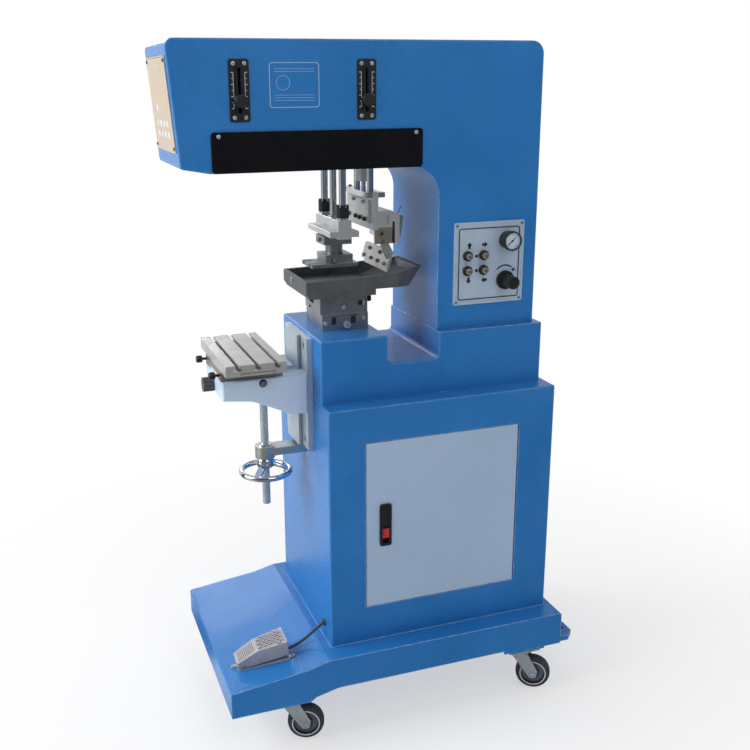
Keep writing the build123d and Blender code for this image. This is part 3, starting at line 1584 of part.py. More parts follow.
# Squeegee rods: piston rod and two guides on a crossbar
with BuildPart() as squeegee_rods:
    panel(level(crossbar_bottom), (-crossbar_half, crossbar_half), (crossbar_front, crossbar_rear),
          crossbar_top - crossbar_bottom)
    bar(level(crossbar_top - play), (0, squeegee_y), squeegee_rod, squeegee_rod_top - crossbar_top + play)
    for turn in (-1, 1):
        bar(level(crossbar_top - play), (turn * squeegee_guide_x, squeegee_y), squeegee_guide,
            squeegee_bush_top - crossbar_top + play)
save(squeegee_rods, "squeegee_rods")

# Squeegee bracket: hanger, end arms, slotted bar, back plate and the pivot cheek
with BuildPart() as squeegee_bracket:
    panel(facing(hanger_front), (-crossbar_half, crossbar_half), (hanger_bottom, crossbar_bottom),
          hanger_front - hanger_rear)
    panel(facing(face_front), (-face_half, face_half), (face_bottom, face_top),
          face_front - hanger_front)
    panel(facing(hanger_rear - play), (-crossbar_half, crossbar_half), (bar_bottom, bar_top),
          hanger_rear - play - bar_rear)
    panel(facing(bar_rear - play), (-crossbar_half, crossbar_half), (bar_bottom, bar_top - edge_round),
          bar_rear - play - back_front - play)
    panel(facing(back_front), (-crossbar_half, crossbar_half), (back_bottom, back_top),
          back_front - back_rear)
    for turn in (-1, 1):
        arm_middle = (hanger_front + hanger_rear) / 2
        arm_radius = (hanger_rear - hanger_front) / 2
        panel(side(turn * crossbar_half), (hanger_front, hanger_rear),
              (hanger_bottom, arm_top - arm_radius), turn * arm_thick)
        bar(side(turn * crossbar_half), (arm_middle, arm_top - arm_radius), 2 * arm_radius,
            turn * arm_thick)
        panel(side(turn * (crossbar_half + overrun)), (bar_slot_front, bar_slot_rear),
              (bar_slot_bottom, bar_slot_top), -turn * (overrun + edge_round), mode=Mode.SUBTRACT)
    # One cheek, on the control side, carries the blade's pivot pin
    panel(side(crossbar_half), (cheek_front, cheek_rear), (cheek_bottom, bar_bottom + play),
          -cheek_thick)
    bar(side(crossbar_half + play), (blade_pivot_y, blade_pivot_z), blade_pivot,
        -(cheek_thick + blade_ear_thick + 2 * play))
save(squeegee_bracket, "squeegee_bracket")

# Blade holder: an ear on the pivot pin, a sloping clamp plate and the thin doctor blade
lean_y = blade_holder_top_y - blade_holder_bottom_y
lean_z = blade_holder_top - blade_holder_bottom
tip_y = blade_holder_bottom_y - lean_y * (blade_holder_bottom - blade_tip) / lean_z
ear_outer = crossbar_half - cheek_thick - play
with BuildPart() as blade_holder:
    prism(
        side(),
        [
            (blade_holder_top_y, blade_holder_top),
            (blade_holder_top_y - blade_holder_thick, blade_holder_top),
            (blade_holder_bottom_y - blade_holder_thick, blade_holder_bottom),
            (blade_holder_bottom_y, blade_holder_bottom),
        ],
        blade_holder_half,
        both=True,
    )
    prism(
        side(),
        [
            (blade_holder_bottom_y - blade_thick, blade_holder_bottom + play),
            (tip_y - blade_thick, blade_tip),
            (tip_y, blade_tip),
            (blade_holder_bottom_y, blade_holder_bottom + play),
        ],
        blade_half,
        both=True,
    )
    ear = side(ear_outer)
    prism(
        ear,
        [
            (blade_pivot_y - blade_ear_radius, blade_pivot_z),
            (blade_pivot_y + blade_ear_radius, blade_pivot_z),
            (blade_holder_top_y, blade_holder_top),
            (blade_holder_top_y - lean_y / 2, blade_holder_top - lean_z / 2),
            (blade_holder_top_y - lean_y / 2 - blade_holder_thick, blade_holder_top - lean_z / 2),
        ],
        -blade_ear_thick,
    )
    bar(ear, (blade_pivot_y, blade_pivot_z), 2 * blade_ear_radius, -blade_ear_thick)
    bar(side(ear_outer + overrun), (blade_pivot_y, blade_pivot_z),
        blade_pivot + 2 * slide_fit, -(blade_ear_thick + 2 * overrun), mode=Mode.SUBTRACT)
save(blade_holder, "blade_holder")

# Castors
caster_seats = [
    ("front_right", swivel_x, swivel_front, -yaw_front),
    ("front_left", -swivel_x, swivel_front, yaw_front),
    ("rear_right", swivel_x, swivel_rear, -yaw_rear),
    ("rear_left", -swivel_x, swivel_rear, yaw_rear),
]
cup_top = caster_height - caster_plate_thick - race_depth - play
with BuildPart() as caster_plates:
    for seat_name, seat_x, seat_y, yaw in caster_seats:
        with BuildSketch(Plane.XY.offset(caster_height)) as top_plate:
            with Locations((seat_x, front + seat_y)):
                RectangleRounded(caster_plate_size - overrun, caster_plate_size, edge_round)
        extrude(top_plate.sketch, amount=-caster_plate_thick)
        turned((seat_x, front + seat_y, 0), (0, 0, 1), [
            (0, caster_height - caster_plate_thick / 2),
            (race_diameter / 2, caster_height - caster_plate_thick / 2),
            (race_diameter / 2 - race_depth / 2, caster_height - caster_plate_thick - race_depth),
            (kingpin_diameter / 2, caster_height - caster_plate_thick - race_depth),
            (kingpin_diameter / 2, cup_top - fork_cup_depth),
            (0, cup_top - fork_cup_depth),
        ])
save(caster_plates, "caster_plates")

wheel_radius = wheel_diameter / 2
leg_gap = wheel_hub_width / 2 + play
cup_bottom = cup_top - fork_cup_depth
for number, (seat_name, seat_x, seat_y, yaw) in enumerate(caster_seats, start=1):
    turn = radians(yaw)
    trail_way = (-sin(turn), cos(turn), 0)
    axle_way = (cos(turn), sin(turn), 0)
    leg_plane = Plane(origin=(seat_x, front + seat_y, 0), x_dir=trail_way, z_dir=axle_way)
    with BuildPart() as caster_fork:
        turned((seat_x, front + seat_y, 0), (0, 0, 1), [
            (kingpin_diameter / 2 + slide_fit, cup_top),
            (fork_cup_diameter / 2 - fork_sheet, cup_top),
            (fork_cup_diameter / 2, cup_top - fork_sheet),
            (fork_cup_diameter / 2, cup_bottom),
            (kingpin_diameter / 2 + slide_fit, cup_bottom),
        ])
        for flip in (-1, 1):
            prism(
                leg_plane.offset(flip * leg_gap),
                [
                    (-fork_leg_top / 2, cup_bottom + fork_sheet),
                    (fork_leg_top / 2, cup_bottom + fork_sheet),
                    (caster_trail + fork_leg_end / 2, wheel_radius + fork_leg_end / 3),
                    (caster_trail + fork_leg_end / 3, wheel_radius - fork_leg_end / 2),
                    (caster_trail - fork_leg_end / 3, wheel_radius - fork_leg_end / 2),
                ],
                flip * fork_sheet,
                radii=[play, play, fork_leg_end / 3, fork_leg_end / 4, fork_leg_end / 4],
            )
            bar(leg_plane.offset(flip * (leg_gap + fork_sheet)), (caster_trail, wheel_radius),
                axle_head, flip * axle_head_depth)
        bar(leg_plane.offset(-leg_gap - play), (caster_trail, wheel_radius), axle_diameter,
            2 * leg_gap + 2 * play)
    save(caster_fork, f"caster_fork_{number}")
    wheel_centre = (
        seat_x + caster_trail * trail_way[0],
        front + seat_y + caster_trail * trail_way[1],
        wheel_radius,
    )
    with BuildPart() as caster_wheel:
        turned(wheel_centre, axle_way, [
            (axle_diameter / 2 + slide_fit, -wheel_hub_width / 2),
            (wheel_hub_diameter / 2, -wheel_hub_width / 2),
            (wheel_hub_diameter / 2, -wheel_web / 2),
            (wheel_rim_diameter / 2, -wheel_web / 2),
            (wheel_rim_diameter / 2, -wheel_width / 2),
            (wheel_radius - tyre_round / 2, -wheel_width / 2),
            (wheel_radius - tyre_round / 8, -wheel_width / 2 + tyre_round / 2),
            (wheel_radius, -wheel_width / 2 + tyre_round),
            (wheel_radius, wheel_width / 2 - tyre_round),
            (wheel_radius - tyre_round / 8, wheel_width / 2 - tyre_round / 2),
            (wheel_radius - tyre_round / 2, wheel_width / 2),
            (wheel_rim_diameter / 2, wheel_width / 2),
            (wheel_rim_diameter / 2, wheel_web / 2),
            (wheel_hub_diameter / 2, wheel_web / 2),
            (wheel_hub_diameter / 2, wheel_hub_width / 2),
            (axle_diameter / 2 + slide_fit, wheel_hub_width / 2),
        ])
    save(caster_wheel, f"caster_wheel_{number}")
    print("caster", number, "wheel centre", [round(c, 3) for c in wheel_centre])

# Foot switch on the sloping platform
platform_angle = atan2(platform_slope_share, 1)
pedal_level = -nose_drop + (base_nose - pedal_reach) * platform_slope_share
pedal_turn = radians(pedal_yaw)
platform_normal = Vector(0, -sin(platform_angle), cos(platform_angle))
pedal_side_way = Vector(cos(pedal_turn), -sin(pedal_turn) * cos(platform_angle),
                        -sin(pedal_turn) * sin(platform_angle))
pedal_floor = Plane(origin=place(pedal_x, -pedal_reach, pedal_level), x_dir=pedal_side_way,
                    z_dir=platform_normal)
pedal_side = Plane(origin=pedal_floor.origin, x_dir=pedal_floor.y_dir, z_dir=pedal_floor.x_dir)
print("pedal side way", pedal_floor.x_dir, "pedal way", pedal_floor.y_dir)


def pedal_plan(z, front_half, rear_half, depth, start=0, end=pedal_length, mode=Mode.ADD):
    prism(
        pedal_floor.offset(z),
        [(-front_half, start), (front_half, start), (rear_half, end), (-rear_half, end)],
        depth,
        mode=mode,
    )


with BuildPart() as pedal_base:
    pedal_plan(0, pedal_half_front, pedal_half_rear, pedal_sole)
    for ear_x, ear_y, way in ((0, 0, -1), (pedal_ear_rear_x, pedal_length, 1)):
        with BuildSketch(pedal_floor) as ear_shape:
            with Locations((ear_x, ear_y + way * pedal_ear_reach / 2)):
                Rectangle(pedal_ear, pedal_ear_reach + play)
            with Locations((ear_x, ear_y + way * pedal_ear_reach)):
                Circle(pedal_ear / 2)
                Circle(pedal_ear_hole / 2, mode=Mode.SUBTRACT)
        extrude(ear_shape.sketch, amount=pedal_sole)
    panel(pedal_floor.offset(pedal_sole - play), (-pedal_core_half, pedal_core_half),
          (pedal_core_front, pedal_core_rear), pedal_core_height - pedal_sole + play, corner=pedal_ear / 4)
    # Pivot posts and pin
    for flip in (-1, 1):
        panel(pedal_side.offset(flip * pedal_post_half),
              (pedal_pivot_y - pedal_pivot, pedal_pivot_y + pedal_pivot),
              (pedal_sole - play, pedal_pivot_z + pedal_pivot), flip * pedal_post_thick)
    bar(pedal_side.offset(-pedal_half_front), (pedal_pivot_y, pedal_pivot_z), pedal_pivot,
        2 * pedal_half_front)
    # Cable gland at the back
    gland_z = gland_diameter / 2 + pedal_sole / 2
    gland_x = 0
    bar(Plane(origin=pedal_floor.origin, x_dir=pedal_floor.x_dir, z_dir=-pedal_floor.y_dir).offset(
        -pedal_core_rear + play), (gland_x, gland_z), gland_diameter,
        -(pedal_length - pedal_core_rear) - play)
save(pedal_base, "pedal_base")

# Treadle: a ribbed cover, hollow below, that tips on the pivot pin
tread_outline = [
    (0, pedal_sole + pedal_skirt_gap),
    (0, pedal_front_height),
    (pedal_break, pedal_break_height),
    (pedal_length, pedal_rear_height),
    (pedal_length, pedal_sole + pedal_skirt_rise),
]
with BuildPart() as pedal_treadle:
    prism(pedal_side, tread_outline, pedal_half_rear, both=True)
    with BuildSketch(pedal_floor) as tread_plan:
        with BuildLine():
            Polyline(
                (-pedal_half_front, 0),
                (pedal_half_front, 0),
                (pedal_half_rear, pedal_length),
                (-pedal_half_rear, pedal_length),
                close=True,
            )
        make_face()
        fillet(tread_plan.vertices(), pedal_flange)
    extrude(tread_plan.sketch, amount=pedal_rear_height + overrun, mode=Mode.INTERSECT)
    with BuildPart(mode=Mode.PRIVATE) as tread_core:
        prism(
            pedal_side,
            [
                (pedal_wall, 0),
                (pedal_wall, pedal_front_height - pedal_wall),
                (pedal_break, pedal_break_height - pedal_wall),
                (pedal_length - pedal_wall, pedal_rear_height - pedal_wall),
                (pedal_length - pedal_wall, 0),
            ],
            pedal_half_rear,
            both=True,
        )
        with BuildSketch(pedal_floor) as core_plan:
            with BuildLine():
                Polyline(
                    (-pedal_half_front + pedal_wall, 0),
                    (pedal_half_front - pedal_wall, 0),
                    (pedal_half_rear - pedal_wall, pedal_length),
                    (-pedal_half_rear + pedal_wall, pedal_length),
                    close=True,
                )
            make_face()
        extrude(core_plan.sketch, amount=pedal_rear_height, mode=Mode.INTERSECT)
    add(tread_core.part, mode=Mode.SUBTRACT)
    bar(pedal_side.offset(-pedal_half_rear), (pedal_pivot_y, pedal_pivot_z),
        pedal_pivot + 2 * slide_fit, 2 * pedal_half_rear, mode=Mode.SUBTRACT)
    # Room for the cable gland in the back wall
    bar(Plane(origin=pedal_floor.origin, x_dir=pedal_floor.x_dir, z_dir=-pedal_floor.y_dir).offset(
        -pedal_length - overrun), (gland_x, gland_z), gland_diameter + 4 * play,
        pedal_wall + 2 * overrun, mode=Mode.SUBTRACT)
    panel(Plane(origin=pedal_floor.origin, x_dir=pedal_floor.x_dir, z_dir=-pedal_floor.y_dir).offset(
        -pedal_length - overrun), (gland_x - gland_diameter / 2 - 2 * play,
                                   gland_x + gland_diameter / 2 + 2 * play),
        (0, gland_z + gland_diameter / 2 + pedal_skirt_rise + play), pedal_wall + 2 * overrun,
          mode=Mode.SUBTRACT)
    # Bold ribs along the upper tread and fine ribs across the lower one
    upper_length = hypot(pedal_length - pedal_break, pedal_rear_height - pedal_break_height)
    upper_way = atan2(pedal_rear_height - pedal_break_height, pedal_length - pedal_break)
    upper_plane = Plane(
        origin=pedal_floor.from_local_coords((0, pedal_break, pedal_break_height)),
        x_dir=pedal_floor.x_dir,
        z_dir=pedal_floor.z_dir * cos(upper_way) - pedal_floor.y_dir * sin(upper_way),
    )
    rib_span = 2 * pedal_half_front
    with BuildSketch(upper_plane.offset(-play)) as bold_ribs:
        with Locations((0, upper_length / 2)):
            with GridLocations(rib_span / (rib_count - 1), 0, rib_count, 1):
                Rectangle(rib_width, upper_length - 2 * rib_width)
    extrude(bold_ribs.sketch, amount=rib_height + play)
    lower_length = hypot(pedal_break, pedal_break_height - pedal_front_height)
    lower_way = atan2(pedal_break_height - pedal_front_height, pedal_break)
    lower_plane = Plane(
        origin=pedal_floor.from_local_coords((0, 0, pedal_front_height)),
        x_dir=pedal_floor.x_dir,
        z_dir=pedal_floor.z_dir * cos(lower_way) - pedal_floor.y_dir * sin(lower_way),
    )
    with BuildSketch(lower_plane.offset(-play)) as fine_ribs:
        with Locations((0, lower_length / 2)):
            with GridLocations(0, (lower_length - 4 * rib_width) / (fine_rib_count - 1), 1, fine_rib_count):
                Rectangle(rib_span - 4 * rib_width, fine_rib_width)
    extrude(fine_ribs.sketch, amount=rib_height / 2 + play)
save(pedal_treadle, "pedal_treadle")

# Cable from the foot switch to the grommet in the cabinet's front
cable_start = pedal_floor.from_local_coords((gland_x, pedal_length, gland_z))
cable_route = [
    place(cable_start.X, cable_start.Y - front, cable_start.Z - base_top),
    place(146.5, -74, -5),
    place(144, -49, 6.5),
    place(142, -22, 24.5),
    place(cable_hole_x, -grommet_lip, cable_hole_z),
]
print("cable route", [tuple(round(c, 3) for c in point) for point in cable_route])
cable_radii = []
for before, here, after in zip(cable_route, cable_route[1:], cable_route[2:]):
    first_run = Vector(*here) - Vector(*before)
    second_run = Vector(*after) - Vector(*here)
    bend = radians(first_run.get_angle(second_run))
    cable_radii.append(0.45 * min(first_run.length, second_run.length) / tan(bend / 2))
print("cable radii", [round(r, 1) for r in cable_radii])
with BuildPart() as pedal_cable:
    with BuildLine() as cable_path:
        FilletPolyline(*cable_route, radius=cable_radii)
    with BuildSketch(Plane(origin=cable_path.line @ 0, z_dir=cable_path.line % 0)):
        Circle(cable_diameter / 2)
    sweep()
save(pedal_cable, "pedal_cable")

# Grommet: a flared rubber bush in the cabinet's front face
with BuildPart() as cable_grommet:
    turned(place(cable_hole_x, 0, cable_hole_z), (0, -1, 0), [
        (0, grommet_lip),
        (grommet_neck / 2, grommet_lip),
        (grommet_diameter / 2, grommet_lip / 2),
        (grommet_diameter / 2, 0),
        (grommet_neck / 2, 0),
        (grommet_neck / 2, -sheet - grommet_lip / 2),
        (0, -sheet - grommet_lip / 2),
    ])
save(cable_grommet, "cable_grommet")

# Manifold with its valves on the cabinet's floor
with BuildPart() as valve_manifold:
    panel(level(0), (manifold_x - manifold_half, manifold_x + manifold_half),
          (manifold_front, manifold_rear), manifold_height)
    with BuildSketch(level(manifold_height - play)) as valves:
        with Locations((manifold_x, (manifold_front + manifold_rear) / 2)):
            with GridLocations(0, valve_width + valve_gap, 1, manifold_valves):
                Rectangle(2 * valve_half, valve_width)
    extrude(valves.sketch, amount=valve_height)
save(valve_manifold, "valve_manifold")
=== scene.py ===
import math

import bmesh
import bpy
from mathutils import Matrix, Vector


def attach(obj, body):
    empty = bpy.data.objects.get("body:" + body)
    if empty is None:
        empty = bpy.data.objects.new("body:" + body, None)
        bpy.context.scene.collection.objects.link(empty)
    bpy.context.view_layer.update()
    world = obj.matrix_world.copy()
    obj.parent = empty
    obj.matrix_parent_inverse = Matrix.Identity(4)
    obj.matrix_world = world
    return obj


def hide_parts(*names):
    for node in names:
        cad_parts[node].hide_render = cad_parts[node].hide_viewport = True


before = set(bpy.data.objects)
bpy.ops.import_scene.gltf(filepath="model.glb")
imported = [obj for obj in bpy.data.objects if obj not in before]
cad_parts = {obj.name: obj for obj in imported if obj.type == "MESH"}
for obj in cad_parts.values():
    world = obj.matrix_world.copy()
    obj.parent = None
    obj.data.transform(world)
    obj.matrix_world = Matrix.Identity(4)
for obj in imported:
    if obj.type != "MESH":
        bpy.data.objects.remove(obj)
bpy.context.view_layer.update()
scene = bpy.context.scene
print("frame loaded, nodes:", len(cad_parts))

# The camera stands where the photograph was taken, about as high as the machine's head.
cameraView = {
    "place": (2.02153, -0.74611, 1.41792),
    "right": (0.33472, 0.94229, -0.00689),
    "down": (0.25917, -0.09908, -0.96074),
    "lens": 46.627,
    "shiftX": 0.02858,
    "shiftY": -0.01521,
    "sensor": 36.0,
    "nearest": 0.05,
}


def placeCamera():
    data = bpy.data.cameras.new("photoCamera")
    data.sensor_width = cameraView["sensor"]
    data.lens = cameraView["lens"]
    data.shift_x = cameraView["shiftX"]
    data.shift_y = cameraView["shiftY"]
    data.clip_start = cameraView["nearest"]
    camera = bpy.data.objects.new("photoCamera", data)
    scene.collection.objects.link(camera)
    right = Vector(cameraView["right"]).normalized()
    up = -Vector(cameraView["down"]).normalized()
    back = right.cross(up).normalized()
    up = back.cross(right).normalized()
    turned = Matrix((right, up, back)).transposed()
    camera.matrix_world = Matrix.Translation(cameraView["place"]) @ turned.to_4x4()
    scene.camera = camera


placeCamera()
print("camera placed")


# Small tools for meshes

def meshFrom(bm, name, smoothAngle=None):
    mesh = bpy.data.meshes.new(name)
    bmesh.ops.recalc_face_normals(bm, faces=bm.faces)
    bm.to_mesh(mesh)
    bm.free()
    piece = bpy.data.objects.new(name, mesh)
    scene.collection.objects.link(piece)
    if smoothAngle is not None:
        mesh.polygons.foreach_set("use_smooth", [True] * len(mesh.polygons))
        mesh.set_sharp_from_angle(angle=math.radians(smoothAngle))
    return piece


def finishPiece(piece, body, material):
    piece.data.materials.clear()
    piece.data.materials.append(material)
    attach(piece, body)


def evaluated(piece, name):
    graph = bpy.context.evaluated_depsgraph_get()
    made = bpy.data.meshes.new_from_object(piece.evaluated_get(graph))
    made.name = name
    result = bpy.data.objects.new(name, made)
    scene.collection.objects.link(result)
    bpy.data.objects.remove(piece)
    return result


def joinLoops(bm, low, high):
    # a band of faces between two loops of one length
    count = len(low)
    for k in range(count):
        n = (k + 1) % count
        bm.faces.new((low[k], low[n], high[n], high[k]))


def latheInto(bm, profile, origin, axis, segments):
    # profile is a run of (radius, height) in millimetres, turned about the axis
    origin, axis = Vector(origin), Vector(axis).normalized()
    helper = Vector((0, 0, 1)) if abs(axis.z) < 0.9 else Vector((1, 0, 0))
    across = axis.cross(helper).normalized()
    other = axis.cross(across).normalized()
    turns = [2 * math.pi * k / segments for k in range(segments)]
    rings = []
    for radius, height in profile:
        centre = origin + axis * height / 1000
        if radius == 0:
            rings.append([bm.verts.new(centre)])
        else:
            rings.append([bm.verts.new(centre + radius / 1000 * (math.cos(turn) * across + math.sin(turn) * other))
                          for turn in turns])
    for low, high in zip(rings, rings[1:]):
        if len(low) == len(high):
            joinLoops(bm, low, high)
            continue
        for k in range(segments):
            n = (k + 1) % segments
            bm.faces.new((low[0], high[n], high[k]) if len(low) == 1 else (low[k], low[n], high[0]))


def turnedTrim(name, body, material, origin, axis, profile, segments=40):
    bm = bmesh.new()
    latheInto(bm, profile, origin, axis, segments)
    finishPiece(meshFrom(bm, name, 35), body, material)


# Flat outlines, in millimetres about their middle

def outlinePoints(halfWide, halfHigh, corner, steps=6):
    points = []
    for cx, cy, first in ((1, 1, 0), (-1, 1, 90), (-1, -1, 180), (1, -1, 270)):
        for k in range(steps + 1):
            turn = math.radians(first + 90 * k / steps)
            points.append((cx * (halfWide - corner) + corner * math.cos(turn),
                           cy * (halfHigh - corner) + corner * math.sin(turn)))
    return points


def rectPoints(wide, high):
    return [(-wide / 2, -high / 2), (wide / 2, -high / 2), (wide / 2, high / 2), (-wide / 2, high / 2)]


def circlePoints(radius, count):
    turns = (2 * math.pi * k / count for k in range(count))
    return [(radius * math.cos(turn), radius * math.sin(turn)) for turn in turns]


def turnedPoints(points, turn):
    c, s = math.cos(turn), math.sin(turn)
    return [(x * c - y * s, x * s + y * c) for x, y in points]


def onPlane(points, centre, across, up):
    return [Vector(centre) + (Vector(across) * x + Vector(up) * y) / 1000 for x, y in points]


inkThick = 0.00012


def inkInto(bm, outer, inner, lift, thick=inkThick):
    # a flat printed or raised shape: outer loop, an optional inner loop, and a small thickness
    lift = Vector(lift).normalized() * thick
    lowOuter, topOuter = [bm.verts.new(p) for p in outer], [bm.verts.new(p + lift) for p in outer]
    joinLoops(bm, lowOuter, topOuter)
    if inner:
        lowInner, topInner = [bm.verts.new(p) for p in inner], [bm.verts.new(p + lift) for p in inner]
        joinLoops(bm, topOuter, topInner)
        joinLoops(bm, topInner, lowInner)
        joinLoops(bm, lowInner, lowOuter)
    else:
        bm.faces.new(topOuter)
        bm.faces.new(list(reversed(lowOuter)))


# The foot switch's cable: the route of part.py, in metres

cableSizes = {
    "diameter": 0.006,
    "route": [
        (0.147953, -0.250633, 0.189757),
        (0.1465, -0.230771, 0.193),
        (0.144, -0.205771, 0.2045),
        (0.142, -0.178771, 0.2225),
        (0.141, -0.160771, 0.235),
    ],
}


def makeCable():
    curve = bpy.data.curves.new("pedalCable", "CURVE")
    curve.dimensions = "3D"
    curve.bevel_depth = cableSizes["diameter"] / 2
    curve.bevel_resolution = 6
    curve.use_fill_caps = True
    spline = curve.splines.new("NURBS")
    spline.points.add(len(cableSizes["route"]) - 1)
    for point, place in zip(spline.points, cableSizes["route"]):
        point.co = (*place, 1.0)
    spline.order_u = 3
    spline.use_endpoint_u = True
    spline.resolution_u = 12
    cable = bpy.data.objects.new("pedalCable", curve)
    scene.collection.objects.link(cable)
    return cable, spline.calc_length()


footCable, footCableLength = makeCable()
print("cable length", round(footCableLength, 4))


# Shader groups that several finishes share

def startGroup(name, inputs, outputs):
    tree = bpy.data.node_groups.new(name, "ShaderNodeTree")
    for label, kind, value in inputs:
        socket = tree.interface.new_socket(label, in_out="INPUT", socket_type=kind)
        if value is not None:
            socket.default_value = value
    for label, kind in outputs:
        tree.interface.new_socket(label, in_out="OUTPUT", socket_type=kind)
    return tree, tree.nodes.new("NodeGroupInput"), tree.nodes.new("NodeGroupOutput")


def feed(tree, socket, value):
    # a link, or a plain value on the socket itself
    if isinstance(value, bpy.types.NodeSocket):
        tree.links.new(value, socket)
    else:
        socket.default_value = value


def mathNode(tree, operation, first, second, clamp=False):
    node = tree.nodes.new("ShaderNodeMath")
    node.operation = operation
    node.use_clamp = clamp
    feed(tree, node.inputs[0], first)
    feed(tree, node.inputs[1], second)
    return node.outputs[0]


def rangeNode(tree, value, low, high, outLow, outHigh):
    node = tree.nodes.new("ShaderNodeMapRange")
    node.clamp = True
    for key, number in (("Value", value), ("From Min", low), ("From Max", high),
                        ("To Min", outLow), ("To Max", outHigh)):
        feed(tree, node.inputs[key], number)
    return node.outputs["Result"]


def noiseNode(tree, vector, scale, detail, roughness):
    node = tree.nodes.new("ShaderNodeTexNoise")
    for key, value in (("Vector", vector), ("Scale", scale), ("Detail", detail), ("Roughness", roughness)):
        feed(tree, node.inputs[key], value)
    return node.outputs["Fac"]


def buildPeelGroup():
    # the pebbled skin of sprayed or moulded surfaces, with slow blotches of tone
    tree, given, out = startGroup(
        "pebbledSkin",
        [("Vector", "NodeSocketVector", None), ("Pebbles per metre", "NodeSocketFloat", 400.0),
         ("Blotches per metre", "NodeSocketFloat", 9.0), ("Depth", "NodeSocketFloat", 1.0)],
        [("Height", "NodeSocketFloat"), ("Tone", "NodeSocketFloat")])
    fine = noiseNode(tree, given.outputs["Vector"], given.outputs["Pebbles per metre"], 2.0, 0.55)
    wide = noiseNode(tree, given.outputs["Vector"], given.outputs["Blotches per metre"], 4.0, 0.6)
    tree.links.new(mathNode(tree, "MULTIPLY", fine, given.outputs["Depth"]), out.inputs["Height"])
    mixed = mathNode(tree, "ADD", mathNode(tree, "MULTIPLY", wide, 0.7), mathNode(tree, "MULTIPLY", fine, 0.3))
    tree.links.new(rangeNode(tree, mixed, 0.3, 0.7, 0.0, 1.0), out.inputs["Tone"])
    return tree


def buildEdgeGroup():
    # a rounded arris and a mask of the edges, read from how far the softened normal leans; the edge tone it brings in
    # stands for wear and for a painted highlight along the arris
    tree, given, out = startGroup(
        "softArrisWearAndHighlight",
        [("Radius", "NodeSocketFloat", 0.001), ("Wear and highlight", "NodeSocketFloat", 1.0),
         ("Vector", "NodeSocketVector", None)],
        [("Normal", "NodeSocketVector"), ("Edge wear and highlight", "NodeSocketFloat")])
    bevel = tree.nodes.new("ShaderNodeBevel")
    bevel.samples = 4
    tree.links.new(given.outputs["Radius"], bevel.inputs["Radius"])
    geometry = tree.nodes.new("ShaderNodeNewGeometry")
    dot = tree.nodes.new("ShaderNodeVectorMath")
    dot.operation = "DOT_PRODUCT"
    tree.links.new(bevel.outputs["Normal"], dot.inputs[0])
    tree.links.new(geometry.outputs["Normal"], dot.inputs[1])
    lean = rangeNode(tree, dot.outputs["Value"], 0.86, 0.997, 1.0, 0.0)
    broken = rangeNode(tree, noiseNode(tree, given.outputs["Vector"], 55.0, 3.0, 0.6), 0.35, 0.62, 0.35, 1.0)
    edgeWearAndHighlightMask = mathNode(tree, "MULTIPLY", mathNode(tree, "MULTIPLY", lean, broken), given.outputs["Wear and highlight"], True)
    tree.links.new(bevel.outputs["Normal"], out.inputs["Normal"])
    tree.links.new(edgeWearAndHighlightMask, out.inputs["Edge wear and highlight"])
    return tree


def buildBrushGroup():
    # fine tool marks drawn out along one direction
    tree, given, out = startGroup(
        "toolMarks",
        [("Vector", "NodeSocketVector", None), ("Marks per metre", "NodeSocketVector", (30.0, 900.0, 900.0))],
        [("Height", "NodeSocketFloat"), ("Tone", "NodeSocketFloat")])
    stretch = tree.nodes.new("ShaderNodeVectorMath")
    stretch.operation = "MULTIPLY"
    tree.links.new(given.outputs["Vector"], stretch.inputs[0])
    tree.links.new(given.outputs["Marks per metre"], stretch.inputs[1])
    marks = noiseNode(tree, stretch.outputs["Vector"], 1.0, 3.0, 0.65)
    stain = noiseNode(tree, given.outputs["Vector"], 22.0, 3.0, 0.6)
    tree.links.new(marks, out.inputs["Height"])
    mixed = mathNode(tree, "ADD", mathNode(tree, "MULTIPLY", marks, 0.45), mathNode(tree, "MULTIPLY", stain, 0.55))
    tree.links.new(rangeNode(tree, mixed, 0.33, 0.67, 0.0, 1.0), out.inputs["Tone"])
    return tree


peelGroup = buildPeelGroup()
edgeGroup = buildEdgeGroup()
brushGroup = buildBrushGroup()


def startMaterial(name, roughness, metallic, extras=None):
    material = bpy.data.materials.new(name)
    material.use_nodes = True
    tree = material.node_tree
    shader = tree.nodes["Principled BSDF"]
    shader.inputs["Metallic"].default_value = metallic
    shader.inputs["Roughness"].default_value = roughness
    for key, value in (extras or {}).items():
        shader.inputs[key].default_value = value
    place = tree.nodes.new("ShaderNodeTexCoord").outputs["Object"]
    return material, tree, shader, place


def placeGroup(tree, group, values):
    node = tree.nodes.new("ShaderNodeGroup")
    node.node_tree = group
    for key, value in values.items():
        feed(tree, node.inputs[key], value)
    return node


def mixColours(tree, factor, first, second):
    node = tree.nodes.new("ShaderNodeMix")
    node.data_type = "RGBA"
    tree.links.new(factor, node.inputs[0])
    for socket, value in ((node.inputs[6], first), (node.inputs[7], second)):
        feed(tree, socket, value if isinstance(value, bpy.types.NodeSocket) else (*value, 1.0))
    return node.outputs[2]


